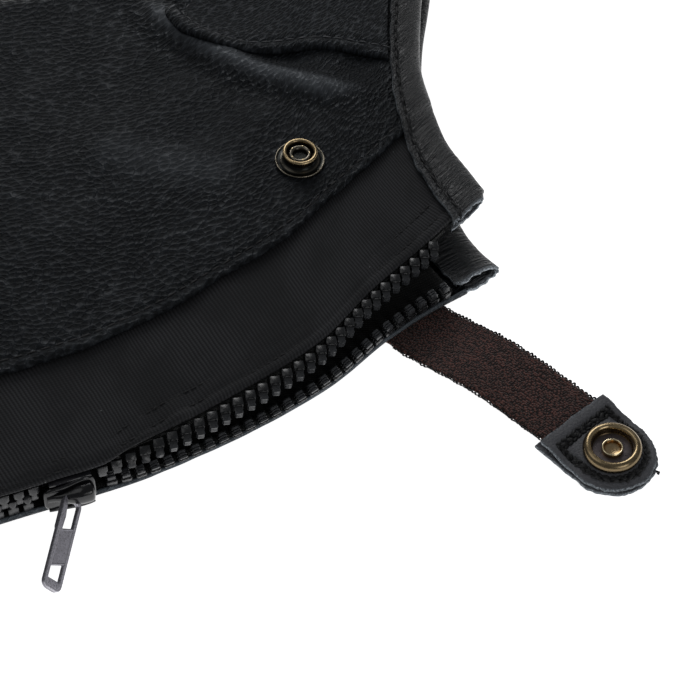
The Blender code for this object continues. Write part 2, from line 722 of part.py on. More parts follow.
def add_strap():
    forward, side = heading(STRAP_HEADING)
    tab_forward, tab_side = heading(TAB_HEADING)
    along = np.concatenate((np.linspace(-STRAP_UNDER, STRAP_LENGTH, 20), [STRAP_LENGTH + TAB_LAP]))
    rings = []
    for distance in along:
        turn = smooth((distance / STRAP_LENGTH - STRAP_TURN_FROM) / (1.0 - STRAP_TURN_FROM))
        here = np.array(STRAP_ROOT) + forward * min(distance, STRAP_LENGTH)
        here = here + tab_forward * max(distance - STRAP_LENGTH, 0.0)
        across = side + (tab_side - side) * turn
        across *= STRAP_WIDTH / 2 / np.linalg.norm(across)
        low = strap_height(np.array(distance))
        rings.append(
            [
                (*(here + across), low),
                (*(here + across), low + STRAP_THICKNESS),
                (*(here - across), low + STRAP_THICKNESS),
                (*(here - across), low),
            ]
        )
    add_bar("strap", rings, "strap")


def tab_base():
    return np.array(STRAP_ROOT) + heading(STRAP_HEADING)[0] * STRAP_LENGTH


def snap_centre():
    return tab_base() + heading(TAB_HEADING)[0] * TAB_STRAIGHT


def tab_outline(start, grow=0.0):
    """The tab's outline in plan: straight sides from start along it, and a round end."""
    forward, side = heading(TAB_HEADING)
    half = TAB_WIDTH / 2 + grow
    points = [tab_base() + forward * start - side * half]
    for angle in np.radians(np.linspace(-90.0, 90.0, 17)):
        points.append(snap_centre() + (forward * math.cos(angle) + side * math.sin(angle)) * half)
    points.append(tab_base() + forward * start + side * half)
    return np.array(points)


def add_slab(name, outline, low, high, kind):
    rings = [np.column_stack((outline, np.full(len(outline), z))) for z in (low, high)]
    add_bar(name, rings, kind)


def add_tab():
    add_slab("strap_tab_top", tab_outline(0.0), TAB_TOP, TAB_TOP + TAB_LEATHER, "tab")
    lower = tab_outline(TAB_LOWER_START, TAB_LOWER_GROWTH)
    add_slab("strap_tab_bottom", lower, TAB_BOTTOM, TAB_BOTTOM + TAB_LEATHER, "tab")


def add_turned(name, profile, place, kind="brass", steps=28):
    """A turned piece from its profile of (radius, height), which starts and ends on the axis."""
    points = [(0.0, 0.0, profile[0][1])]
    turned = profile[1:-1]
    angles = np.linspace(0.0, 2 * math.pi, steps, endpoint=False)
    for radius, height in turned:
        points += [(radius * math.cos(a), radius * math.sin(a), height) for a in angles]
    points.append((0.0, 0.0, profile[-1][1]))
    last = len(points) - 1
    faces = [(0, 1 + (j + 1) % steps, 1 + j) for j in range(steps)]
    for i in range(len(turned) - 1):
        here, ahead = 1 + i * steps, 1 + (i + 1) * steps
        faces += [
            (here + j, here + (j + 1) % steps, ahead + (j + 1) % steps, ahead + j)
            for j in range(steps)
        ]
    final = 1 + (len(turned) - 1) * steps
    faces += [(last, final + j, final + (j + 1) % steps) for j in range(steps)]
    made = add_object(name, points, faces, kind)
    made.matrix_world = place
    return made


STUD_PROFILE = (
    (0, 0.0), (STUD_RADIUS, 0.0), (STUD_RADIUS, 0.5), (STUD_RADIUS - 0.5, 0.8), (5.0, 1.0), (4.4, 1.3),
    (4.4, 2.9), (4.0, 3.3), (3.4, 3.2), (3.0, 2.6), (1.9, 2.2), (1.7, 1.4), (0, 1.4),
)
SOCKET_PROFILE = (
    (0, 0.0), (SOCKET_RADIUS, 0.0), (SOCKET_RADIUS, 1.3), (6.3, 1.9), (5.5, 2.0), (4.9, 1.5), (4.7, 0.7),
    (2.6, 0.6), (2.4, 1.7), (1.9, 1.7), (1.7, 0.7), (0, 0.7),
)
CAP_PROFILE = ((0, 0.0), (5.2, 0.0), (6.3, 0.3), (6.6, CAP_HEIGHT), (0, CAP_HEIGHT))


def add_snap():
    x, y = snap_centre()
    add_turned("snap_cap", CAP_PROFILE, Matrix.Translation((x * MM, y * MM, 0.0)))
    socket_low = TAB_TOP + TAB_LEATHER + SEAM_GAP
    add_turned("snap_socket", SOCKET_PROFILE, Matrix.Translation((x * MM, y * MM, socket_low * MM)))
    x = np.array([STUD_AT[0] + 1.0])
    around = np.array([STUD_AT[1] - leg("back_y", x)[0]])
    for _ in range(4):
        miss = np.array(STUD_AT) - upper_skin(x, around)[0, :2]
        x = x + miss[0]
        around = around + miss[1]
    normal, along = outward(upper_skin, x, around)
    foot = upper_skin(x, around)[0] + normal[0] * (SEAM_GAP + 0.1)
    add_turned("snap_stud", STUD_PROFILE, placing(foot, along[0], np.cross(normal[0], along[0]), normal[0]))


def main():
    for old in list(bpy.data.objects):
        bpy.data.objects.remove(old, do_unlink=True)
    add_leather_and_elastic()
    add_shin_panel()
    add_tapes()
    add_instep_patch()
    add_zip()
    add_bindings()
    add_strap()
    add_tab()
    add_snap()


main()
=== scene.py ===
# %% [markdown]
# # Dressing a leather half chap
# A half chap is a riding gaiter: a leather sleeve for the lower leg, with a strip of elastic
# beside its zip so that it fits closely. This one lies on its side with the ankle end unzipped.
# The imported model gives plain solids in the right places. Each cell below makes one of the real
# materials or pieces and lays it where its solid lies.

# %% Load the frame
import math

import bpy
import numpy as np
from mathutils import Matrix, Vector


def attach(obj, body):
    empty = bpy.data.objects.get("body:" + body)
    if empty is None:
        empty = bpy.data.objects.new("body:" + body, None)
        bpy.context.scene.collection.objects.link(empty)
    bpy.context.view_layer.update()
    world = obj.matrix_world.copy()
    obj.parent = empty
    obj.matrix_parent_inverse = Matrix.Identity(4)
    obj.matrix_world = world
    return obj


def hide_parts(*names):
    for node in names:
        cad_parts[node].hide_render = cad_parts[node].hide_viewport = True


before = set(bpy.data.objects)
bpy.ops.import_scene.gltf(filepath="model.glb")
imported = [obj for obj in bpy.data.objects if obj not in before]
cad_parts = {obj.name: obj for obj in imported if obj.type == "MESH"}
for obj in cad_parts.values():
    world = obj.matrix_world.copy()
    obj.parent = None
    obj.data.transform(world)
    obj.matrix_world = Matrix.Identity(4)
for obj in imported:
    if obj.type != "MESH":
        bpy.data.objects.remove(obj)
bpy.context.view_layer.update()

# %% [markdown]
# ## The view
# The photograph looks down at 51 degrees over the zip, from a little to the knee's side, with a
# long lens, so that lines stay almost parallel. The camera is placed by that direction and by
# the point of the ankle at which it looks. A long lens could stand further off and look the
# same; 0.6 m keeps the small spread that the photograph has.

# %% Camera
azimuth, elevation = math.radians(-14.0), math.radians(51.0)
look_at = Vector((0.160, -0.070, 0.0))
back = Vector((math.sin(azimuth) * math.cos(elevation),
               -math.cos(azimuth) * math.cos(elevation), math.sin(elevation)))
lens = bpy.data.cameras.new("camera")
lens.lens, lens.sensor_width, lens.clip_start = 130.2, 36.0, 0.01
camera = bpy.data.objects.new("camera", lens)
camera.location = look_at + 0.6 * back
camera.rotation_euler = (-back).to_track_quat("-Z", "Y").to_euler()
bpy.context.scene.collection.objects.link(camera)
bpy.context.scene.camera = camera
bpy.context.scene.view_settings.view_transform = "Standard"
print("camera at", tuple(round(v, 3) for v in camera.location))


# %% [markdown]
# ## Materials from nodes
# Every finish here is a small network of nodes. A short helper that makes a node, sets it and
# links it in one line keeps the networks readable. Lengths inside a material are millimetres:
# the Object coordinates are multiplied by 1000 first, or the piece carries its own "cloth"
# attribute, in millimetres along and across the cloth, where the pattern follows the cloth.

# %% Node helpers
def node(tree, kind, inputs=None, **settings):
    """One shader node: its settings, then its sockets, each from a number or another socket."""
    made = tree.nodes.new("ShaderNode" + kind)
    for key, value in settings.items():
        setattr(made, key, value)
    for key, value in (inputs or {}).items():
        if isinstance(value, bpy.types.NodeSocket):
            tree.links.new(value, made.inputs[key])
        else:
            made.inputs[key].default_value = value
    return made


def sum_of(tree, first, second, operation="ADD"):
    """Two values added, or joined by another operation."""
    return node(tree, "Math", {0: first, 1: second}, operation=operation).outputs[0]


def times(tree, first, second):
    """Two values multiplied."""
    return sum_of(tree, first, second, "MULTIPLY")


def between(tree, value, low, high, to_low=0.0, to_high=1.0, kind="SMOOTHSTEP"):
    """A value carried from one range to another, and held at its ends."""
    sockets = {"Value": value, "From Min": low, "From Max": high, "To Min": to_low, "To Max": to_high}
    return node(tree, "MapRange", sockets, interpolation_type=kind).outputs["Result"]


def mixed(tree, factor, first, second):
    """Two colours, mixed."""
    sockets = {0: factor, 6: first, 7: second}
    return node(tree, "Mix", sockets, data_type="RGBA").outputs[2]


def noise(tree, place, scale, detail=2.0, roughness=0.5):
    """Soft noise from 0 to 1, its patches about one over the scale across."""
    sockets = {"Vector": place, "Scale": scale, "Detail": detail, "Roughness": roughness}
    return node(tree, "TexNoise", sockets).outputs["Fac"]


def stretched(tree, place, factors):
    """A place multiplied by a factor along each axis."""
    return node(tree, "VectorMath", {0: place, 1: factors}, operation="MULTIPLY").outputs[0]


def scaled(tree, place, factor):
    """A place multiplied by one factor."""
    return node(tree, "VectorMath", {0: place, "Scale": factor}, operation="SCALE").outputs[0]


def attribute(tree, name, output="Fac"):
    """A mark that the piece carries at each point."""
    return node(tree, "Attribute", attribute_name=name).outputs[output]


def object_place(tree):
    """Object coordinates in millimetres."""
    place = node(tree, "TexCoord").outputs["Object"]
    return scaled(tree, place, 1000.0)


def new_finish(name, **sockets):
    """A material with its constant sockets set, and its tree and shader to build on."""
    made = bpy.data.materials.new(name)
    made.use_nodes = True
    tree = made.node_tree
    shader = tree.nodes["Principled BSDF"]
    for key, value in sockets.items():
        shader.inputs[key.replace("_", " ")].default_value = value
    return made, tree, shader


def raised(tree, shader, height, depth_mm, first=None):
    """Relief: a height from 0 to 1 that is depth_mm deep, on top of an earlier relief."""
    sockets = {"Height": height, "Distance": depth_mm / 1000.0, "Strength": 1.0}
    if first is not None:
        sockets["Normal"] = first
    made = node(tree, "Bump", sockets).outputs["Normal"]
    tree.links.new(made, shader.inputs["Normal"])
    return made


# %% [markdown]
# ### Grained leather
# Black cowhide with a natural grain: small hollows 1 to 2 mm across, parted by a net of rounded
# ridges and drawn out the way the hide was pulled. A picture of leather could give this, but it
# would repeat and carry someone's photograph. Voronoi cells can be measured in two ways: from
# their middles, which gives each cell its hollow, and from their edges, which gives the net.
# Noise bends the cells so that none looks drawn, and they are laid in the piece's own "cloth"
# millimetres, so the grain follows the leather round its folds. The hollows are duller than the
# net, and their colour is painted much darker: painted shade in the hollows. On the crests of the
# folds the hide is stretched and rubbed, which an attribute marks: it is smoother there, and its
# colour is painted paler there, a painted sheen that stands in for the highlight on the crests.

# %% Grained leather
GRAIN_WAY = math.radians(-14.0)  # the way the hide was pulled, from the line down the leg


def leather_finish(name, pebble_mm, pull, depth_mm, tint=1.0, sheen_rough=0.36):
    """Relief: minus a hollow in each cell, plus the net, small cells and pores, times how firm the
    hide is. Colour and roughness follow the hollow, whose dark colour is painted shade, then the painted sheen on the
    crests, the wear and the raw marks."""
    made, tree, shader = new_finish(name, **{"Specular_IOR_Level": 0.27, "Specular_Tint": (0.86, 0.93, 1.0, 1.0)})
    place, cloth = object_place(tree), attribute(tree, "cloth", "Vector")
    bent = cloth
    for scale, detail, shift in ((0.07, 2.0, 5.0), (0.75, 2.0, 0.9)):
        drift = node(tree, "TexNoise", {"Vector": cloth, "Scale": scale, "Detail": detail}).outputs["Color"]
        drift = node(tree, "VectorMath", {0: drift, 1: (0.5, 0.5, 0.5)}, operation="SUBTRACT").outputs[0]
        drift = scaled(tree, drift, shift)
        bent = node(tree, "VectorMath", {0: bent, 1: drift}, operation="ADD").outputs[0]
    bent = node(tree, "Mapping", {"Vector": bent, "Rotation": (0.0, 0.0, GRAIN_WAY), "Scale": pull},
                vector_type="TEXTURE").outputs[0]
    sockets = {"Vector": bent, "Scale": 1.0 / pebble_mm, "Randomness": 0.85}
    flat = {"voronoi_dimensions": "2D"}
    apart = node(tree, "TexVoronoi", sockets, feature="F1", **flat).outputs["Distance"]
    cells = node(tree, "TexVoronoi", sockets, feature="DISTANCE_TO_EDGE", **flat).outputs["Distance"]
    small = node(tree, "TexVoronoi", {"Vector": bent, "Scale": 2.6 / pebble_mm, "Randomness": 1.0},
                 feature="DISTANCE_TO_EDGE", **flat).outputs["Distance"]
    hollow = between(tree, times(tree, apart, apart), 0.0, 0.45, 1.0, 0.0, "LINEAR")
    net = between(tree, cells, 0.0, 0.20, 1.0, 0.0)
    fine = between(tree, small, 0.0, 0.2)
    pores = noise(tree, place, 4.0, 3.0, 0.6)
    firm = between(tree, noise(tree, place, 0.09, 2.0), 0.30, 0.70, 0.55, 1.0)
    shine = attribute(tree, "shine")
    firm = times(tree, firm, between(tree, shine, 0.0, 1.0, 1.0, 0.45))
    height = sum_of(tree, times(tree, hollow, -0.62), times(tree, net, 0.26))
    height = sum_of(tree, height, times(tree, fine, 0.08))
    height = sum_of(tree, height, times(tree, pores, 0.12))
    raised(tree, shader, times(tree, height, firm), depth_mm)
    cloud = noise(tree, place, 0.05, 3.0)
    top = mixed(tree, between(tree, cloud, 0.35, 0.65), [c * tint for c in (0.0078, 0.0089, 0.0108)] + [1.0],
                [c * tint for c in (0.0098, 0.0111, 0.0134)] + [1.0])
    risen = between(tree, hollow, 0.30, 0.95, 1.0, 0.0)
    # painted shade: the grain's hollows get a near-black colour, where shade falls between the ridges
    color = mixed(tree, risen, [0.0011, 0.0012, 0.0015, 1.0], top)
    # painted sheen: on the fold crests the colour is mixed towards pale grey, standing in for the highlight there; the
    # same mark also smooths and polishes the crests
    color = mixed(tree, times(tree, shine, between(tree, risen, 0.0, 1.0, 0.65, 1.0, "LINEAR")), color,
                  [0.074, 0.081, 0.090, 1.0])
    # wear: paler where the raised grain is rubbed; on the edge beads this is partly a painted highlight
    worn = times(tree, attribute(tree, "wear"), between(tree, noise(tree, place, 1.6, 3.0), 0.42, 0.62))
    color = mixed(tree, times(tree, worn, times(tree, risen, 0.9)), color,
                  [0.034, 0.038, 0.043, 1.0])
    raw = attribute(tree, "raw")
    color = mixed(tree, raw, color, mixed(tree, noise(tree, place, 3.5, 4.0), [0.05, 0.06, 0.07, 1.0],
                                          [0.30, 0.34, 0.38, 1.0]))
    tree.links.new(color, shader.inputs["Base Color"])
    rough = between(tree, risen, 0.0, 1.0, sheen_rough + 0.30, sheen_rough, "LINEAR")
    rough = sum_of(tree, rough, times(tree, pores, 0.12))
    rough = sum_of(tree, rough, times(tree, shine, -0.06))
    rough = sum_of(tree, rough, times(tree, raw, 0.4))
    tree.links.new(rough, shader.inputs["Roughness"])
    return made


main_leather = leather_finish("main_leather", 1.22, (1.65, 1.10, 1.0), 0.66)
patch_leather = leather_finish("patch_leather", 1.05, (1.60, 0.95, 1.0), 0.46, 1.45)
print("leather finishes:", main_leather.name, patch_leather.name)

# %% [markdown]
# ### Binding and tab leather
# The hems are bound with thinner, smoother leather, folded round the edge. Folding it made fine
# wrinkles straight across the roll, 0.6 to 1 mm apart, and rubbed the top of the roll glossy; its
# colour is painted paler along the roll, partly rubbing and partly a painted highlight.
# The tab is a firm charcoal leather with hardly any grain. Both show their raw core where they
# were cut: grey, matt and fibrous. The wrinkles follow the cloth, so they read the "cloth"
# attribute: millimetres along the hem and round the roll.

# %% Binding and tab leather
def smooth_leather(name, light, dark, rough, wrinkles, pebble_mm, frayed=1.0):
    """Relief: wrinkles across the cloth, plus a faint grain and fine noise. Colour: dark to light
    by the noise, then paler where "wear" is (rubbing, and on the bindings' roll partly a painted highlight), and
    fibrous where "raw" is."""
    made, tree, shader = new_finish(name, **{"Specular_IOR_Level": 0.36})
    place, cloth = object_place(tree), attribute(tree, "cloth", "Vector")
    fold = noise(tree, stretched(tree, cloth, (1.15, 0.10, 1.0)), 1.0, 2.5, 0.62)
    fold = between(tree, fold, 0.36, 0.64)
    cells = node(tree, "TexVoronoi", {"Vector": stretched(tree, place, (1.0, 1.2, 1.0)),
                 "Scale": 1.0 / pebble_mm}, feature="DISTANCE_TO_EDGE").outputs["Distance"]
    dome = between(tree, cells, 0.0, 0.3)
    fine = noise(tree, place, 4.0, 4.0, 0.65)
    height = sum_of(tree, times(tree, fold, wrinkles), times(tree, dome, 0.22))
    height = sum_of(tree, height, times(tree, fine, 0.18))
    raised(tree, shader, height, 0.30)
    color = mixed(tree, between(tree, fine, 0.3, 0.7), [*dark, 1.0], [*light, 1.0])
    worn = times(tree, attribute(tree, "wear"), between(tree, noise(tree, place, 1.3, 4.0, 0.7), 0.45, 0.62))
    color = mixed(tree, worn, color, [0.085, 0.092, 0.10, 1.0])
    raw = attribute(tree, "raw")
    fibre = mixed(tree, between(tree, noise(tree, place, 2.2, 5.0, 0.7), 0.35, 0.65),
                  [0.030 * frayed, 0.034 * frayed, 0.038 * frayed, 1.0],
                  [0.30 * frayed, 0.33 * frayed, 0.36 * frayed, 1.0])
    color = mixed(tree, raw, color, fibre)
    tree.links.new(color, shader.inputs["Base Color"])
    tree.links.new(sum_of(tree, times(tree, fine, 0.2), sum_of(tree, times(tree, raw, 0.4),
                   rough)), shader.inputs["Roughness"])
    return made


binding_leather = smooth_leather("binding_leather", (0.024, 0.025, 0.027), (0.008, 0.0085, 0.0095), 0.27, 1.1, 1.3, 1.5)
tab_leather = smooth_leather("tab_leather", (0.112, 0.113, 0.123), (0.066, 0.067, 0.074), 0.46, 0.16, 1.1)
print("smooth leathers:", binding_leather.name, tab_leather.name)

# %% [markdown]
# ### Woven cloths
# The elastic is black, with fine ribs that lean across it. The zip's tape is a tight black
# twill. The strap is a dark brown elastic webbing, with rows of brown and reddish loops straight
# across it. All three are waves on the "cloth" attribute, broken up by noise, so that the
# threads follow each cloth round its bends. Real threads in mesh would need millions of faces.

# %% Woven cloths
def wave(tree, value, pitch_mm):
    """A thread's round top: a cosine from 0 to 1 that repeats at each pitch."""
    turns = times(tree, value, 2 * math.pi / pitch_mm)
    crest = node(tree, "Math", {0: turns}, operation="COSINE").outputs[0]
    return between(tree, crest, -1.0, 1.0, kind="LINEAR")


def along_and_across(tree):
    """The two "cloth" numbers of each point, in millimetres."""
    parts = node(tree, "SeparateXYZ", {0: attribute(tree, "cloth", "Vector")})
    return parts.outputs["X"], parts.outputs["Y"]


def ribbed_finish(name, lean, pitch_mm, dark, light, depth_mm, speck=0.0):
    """Ribs: a wave on the way along plus a lean times the way across. A finer wave crosses them."""
    made, tree, shader = new_finish(name, **{"Roughness": 0.82, "Specular_IOR_Level": 0.22,
                                             "Sheen_Weight": 0.12, "Sheen_Roughness": 0.4})
    along, across = along_and_across(tree)
    cloth = attribute(tree, "cloth", "Vector")
    slanted = sum_of(tree, along, times(tree, across, math.tan(math.radians(lean))))
    slanted = sum_of(tree, slanted, times(tree, noise(tree, cloth, 0.3), 0.5))
    ribs = wave(tree, slanted, pitch_mm)
    cross = wave(tree, sum_of(tree, across, times(tree, noise(tree, cloth, 1.5), 0.3)), pitch_mm * 0.7)
    height = sum_of(tree, times(tree, ribs, 0.7), times(tree, cross, 0.3))
    raised(tree, shader, height, depth_mm)
    cloud = between(tree, noise(tree, cloth, 0.06, 3.0), 0.35, 0.65)
    base = mixed(tree, times(tree, ribs, sum_of(tree, cloud, 0.4)), [*dark, 1.0], [*light, 1.0])
    lint = between(tree, noise(tree, cloth, 1.1, 0.0), 0.885, 0.90)
    base = mixed(tree, times(tree, lint, speck), base, [0.20, 0.21, 0.21, 1.0])
    tree.links.new(base, shader.inputs["Base Color"])
    return made


def webbing_finish(name):
    """Loops: 2-D cells in rows, each with its own brown, over a dark ground."""
    made, tree, shader = new_finish(name, **{"Roughness": 0.85, "Specular_IOR_Level": 0.25,
                                             "Sheen_Weight": 0.25, "Sheen_Roughness": 0.45})
    along, across = along_and_across(tree)
    cloth = attribute(tree, "cloth", "Vector")
    drift = node(tree, "TexNoise", {"Vector": cloth, "Scale": 0.6, "Detail": 2.0}).outputs["Color"]
    bent = node(tree, "VectorMath", {0: cloth, 1: stretched(tree, drift, (0.7, 0.7, 0.0))}, operation="ADD").outputs[0]
    sockets = {"Vector": stretched(tree, bent, (1.0 / 0.50, 1.0 / 0.66, 1.0)), "Scale": 1.0, "Randomness": 0.75}
    loops = node(tree, "TexVoronoi", sockets, feature="F1", voronoi_dimensions="2D")
    knot = between(tree, loops.outputs["Distance"], 0.05, 0.62, 1.0, 0.0)
    rows = wave(tree, node(tree, "SeparateXYZ", {0: bent}).outputs["X"], 0.50)
    height = sum_of(tree, times(tree, knot, 0.75), times(tree, rows, 0.25))
    raised(tree, shader, height, 0.36)
    dye = node(tree, "SeparateXYZ", {0: loops.outputs["Color"]}).outputs["X"]
    brown = mixed(tree, dye, [0.032, 0.013, 0.011, 1.0], [0.195, 0.074, 0.058, 1.0])
    cloud = between(tree, noise(tree, cloth, 0.12, 2.0), 0.35, 0.65)
    brown = mixed(tree, times(tree, cloud, 0.35), brown, [0.072, 0.038, 0.030, 1.0])
    color = mixed(tree, between(tree, height, 0.10, 0.55), [0.0060, 0.0040, 0.0038, 1.0], brown)
    tree.links.new(color, shader.inputs["Base Color"])
    return made


elastic_cloth = ribbed_finish("elastic_cloth", 19.0, 0.92, (0.0115, 0.0118, 0.0130), (0.0310, 0.0315, 0.0345),
                              0.15, 0.7)
tape_cloth = ribbed_finish("tape_cloth", 45.0, 0.70, (0.004, 0.0042, 0.004), (0.0170, 0.0180, 0.0175), 0.20)
strap_cloth = webbing_finish("strap_cloth")
print("cloths:", elastic_cloth.name, tape_cloth.name, strap_cloth.name)

# %% [markdown]
# ### Thread, moulded plastic and metal
# The sewing thread is waxed and black; a paler copy of it, on the instep seam, is a painted
# highlight. The teeth are moulded plastic, satin with a faint mould texture. The slider is cast
# metal under thick black enamel, and the pull under a thinner gunmetal one that shines at its
# edges. The press stud is antique brass: brown in its hollows and rubbed to gold on its rims.
# Here the rubbing is painted by a "wear" attribute that each piece carries, broken up by noise, so
# the bright metal stays on the edges from every side. On the slider, the pull and the teeth's
# heads the same mark is partly a painted highlight.

# %% Hard finishes
def hard_finish(name, base, worn, metallic, rough, grain, depth_mm, scale=3.0, coat=0.0, patchy=0.55):
    """The base colour, in soft blotches, mixed with the worn one by "wear" times a noise."""
    made, tree, shader = new_finish(name, **{"Metallic": metallic, "Coat_Weight": coat, "Coat_Roughness": 0.12})
    place = object_place(tree)
    spots = noise(tree, place, scale, 4.0, 0.6)
    rubbed = times(tree, attribute(tree, "wear"), between(tree, spots, 0.30, 0.62, patchy, 1.0))
    blotch = between(tree, noise(tree, place, 0.9, 3.0), 0.35, 0.7, 0.80, 1.12)
    tone = scaled(tree, base, blotch)
    tree.links.new(mixed(tree, rubbed, tone, [*worn, 1.0]), shader.inputs["Base Color"])
    tree.links.new(between(tree, spots, 0.3, 0.7, rough - grain, rough + grain), shader.inputs["Roughness"])
    raised(tree, shader, spots, depth_mm)
    return made


black_thread = hard_finish("black_thread", (0.0035, 0.0035, 0.004), (0.030, 0.030, 0.033), 0.0, 0.66, 0.1, 0.05, 6.0)
# painted highlight: a paler copy of the black thread, standing in for its highlights on the instep seam
painted_highlight_thread = hard_finish("painted_highlight_thread", (0.030, 0.033, 0.037), (0.10, 0.10, 0.11), 0.0, 0.50, 0.1, 0.05, 6.0)
pale_fibre = hard_finish("pale_fibre", (0.16, 0.17, 0.18), (0.4, 0.4, 0.4), 0.0, 0.80, 0.1, 0.02, 6.0)
teeth_plastic = hard_finish("teeth_plastic", (0.0085, 0.009, 0.010), (0.040, 0.042, 0.046), 0.0, 0.30, 0.08, 0.02, 2.0)
black_enamel = hard_finish("black_enamel", (0.004, 0.004, 0.005), (0.022, 0.022, 0.027), 0.0, 0.17, 0.05, 0.02, 0.8)
gunmetal = hard_finish("gunmetal", (0.185, 0.178, 0.205), (0.56, 0.55, 0.60), 0.70, 0.30, 0.06, 0.008, 2.0, 0.2, 0.8)
antique_brass = hard_finish("antique_brass", (0.060, 0.042, 0.025), (0.46, 0.35, 0.20), 1.0, 0.26, 0.05, 0.003, 0.6,
                            patchy=0.85)
bright_brass = hard_finish("bright_brass", (0.30, 0.16, 0.05), (0.98, 0.84, 0.56), 1.0, 0.20, 0.05, 0.006, 2.0,
                           patchy=0.85)
dark_brass = hard_finish("dark_brass", (0.125, 0.105, 0.112), (0.20, 0.17, 0.15), 0.6, 0.32, 0.08, 0.01, 1.0)
black_brass = hard_finish("black_brass", (0.013, 0.014, 0.013), (0.36, 0.32, 0.25), 0.9, 0.25, 0.08, 0.008, 1.0)
print("hard finishes:", len(bpy.data.materials))

# %% [markdown]
# ## Floor and light
# The photograph is a cut-out on white: the floor is blown out, and black leather would sink in
# it without broad soft lights to reflect. So a large soft light hangs behind the leg, where
# level leather mirrors it to the camera, and a weaker one stands in front for the zip. The floor
# glows a little by itself, which keeps it pale right up to the leather and lights its rims.

# %% Floor and lights
def soft_light(name, direction, distance, size, watts):
    """A square soft light at a distance in a direction from the point that the camera looks at."""
    data = bpy.data.lights.new(name, "AREA")
    data.shape, data.size, data.energy = "SQUARE", size, watts
    made = bpy.data.objects.new(name, data)
    away = Vector(direction).normalized()
    made.location = look_at + distance * away
    made.rotation_euler = (-away).to_track_quat("-Z", "Y").to_euler()
    bpy.context.scene.collection.objects.link(made)


soft_light("behind", (0.08, 0.95, 0.62), 1.3, 0.6, 4.6)
soft_light("above", (-0.50, 0.25, 1.0), 1.4, 0.8, 1.3)
soft_light("front", (0.45, -0.95, 0.60), 1.3, 0.6, 2.2)
world = bpy.data.worlds.new("studio")
world.use_nodes = True
world.node_tree.nodes["Background"].inputs["Color"].default_value = (0.93, 0.96, 1.0, 1.0)
world.node_tree.nodes["Background"].inputs["Strength"].default_value = 0.15
bpy.context.scene.world = world

floor_mesh = bpy.data.meshes.new("floor")
floor_mesh.from_pydata([(-6, -6, 0), (6, -6, 0), (6, 6, 0), (-6, 6, 0)], [], [(0, 1, 2, 3)])
floor = bpy.data.objects.new("floor", floor_mesh)
pale, _, pale_shader = new_finish("pale_floor", Roughness=0.9, Emission_Strength=0.95)
pale_shader.inputs["Base Color"].default_value = (0.92, 0.92, 0.92, 1.0)
pale_shader.inputs["Emission Color"].default_value = (1.0, 1.0, 1.0, 1.0)
floor_mesh.materials.append(pale)
bpy.context.scene.collection.objects.link(floor)
print("floor and", len(bpy.data.lights), "soft lights")


# %% [markdown]
# ## Meshes from arrays
# Every piece is worked out as whole arrays of points, in millimetres, and then put into a mesh
# in one go. "Marks" are numbers that the finishes read at each point: where it lies on the cloth,
# where the edge is worn, where the leather is cut raw.

# %% Mesh helpers
MM = 0.001


def unit(ways):
    """Directions of length 1: each vector over the root of the sum of its squares."""
    return ways / np.linalg.norm(ways, axis=-1, keepdims=True)


def run_along(line):
    """How far along a line each of its points is: the sum of the steps before it."""
    return np.concatenate(([0.0], np.cumsum(np.linalg.norm(np.diff(line, axis=0), axis=1))))


def piece(name, points, faces, finish, body="half_chap", instead_of=(), marks=None, sharp=None):
    """A piece from points in millimetres and arrays of faces, turned so that they point out,
    which is where the volume summed over the faces is positive."""
    points = np.asarray(points, float).reshape(-1, 3)
    faces = [np.asarray(part, np.int64) for part in faces if len(part)]
    volume = 0.0
    for part in faces:
        for k in range(1, part.shape[1] - 1):
            a, b, c = points[part[:, 0]], points[part[:, k]], points[part[:, k + 1]]
            volume += np.einsum("ij,ij->", a, np.cross(b, c))
    if volume < 0:
        faces = [part[:, ::-1] for part in faces]
    mesh = bpy.data.meshes.new(name)
    corners = np.concatenate([part.ravel() for part in faces])
    sizes = np.concatenate([np.full(len(part), part.shape[1]) for part in faces])
    mesh.vertices.add(len(points))
    mesh.vertices.foreach_set("co", (points * MM).astype(np.float32).ravel())
    mesh.loops.add(len(corners))
    mesh.loops.foreach_set("vertex_index", corners.astype(np.int32))
    mesh.polygons.add(len(sizes))
    mesh.polygons.foreach_set("loop_start", np.concatenate(([0], np.cumsum(sizes)[:-1])).astype(np.int32))
    mesh.update(calc_edges=True)
    mesh.validate()
    for key, values in {"cloth": None, "wear": None, "raw": None, "shine": None, **(marks or {})}.items():
        if values is None:
            values = np.zeros((len(points), 3) if key == "cloth" else len(points))
        values = np.asarray(values, np.float32)
        if values.ndim == 1:
            mesh.attributes.new(key, "FLOAT", "POINT").data.foreach_set("value", values)
        else:
            mesh.attributes.new(key, "FLOAT_VECTOR", "POINT").data.foreach_set("vector", values.ravel())
    mesh.shade_smooth()
    if sharp:
        mesh.set_sharp_from_angle(angle=math.radians(sharp))
    mesh.materials.append(finish)
    made = bpy.data.objects.new(name, mesh)
    bpy.context.scene.collection.objects.link(made)
    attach(made, body)
    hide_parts(*instead_of)
    print(f"{name}: {int((sizes - 2).sum())} triangles")
    return made


def grid_faces(rows, columns, first=0, closed_rows=False, closed_columns=False):
    """Four-sided faces between the points of a grid, whose rows or columns may close a ring."""
    i = np.arange(rows if closed_rows else rows - 1)[:, None]
    j = np.arange(columns if closed_columns else columns - 1)[None, :]
    ahead, right = (i + 1) % rows, (j + 1) % columns
    corners = (i * columns + j, ahead * columns + j, ahead * columns + right, i * columns + right)
    return first + np.stack([np.broadcast_to(c, (len(i), j.shape[1])).ravel() for c in corners], axis=1)


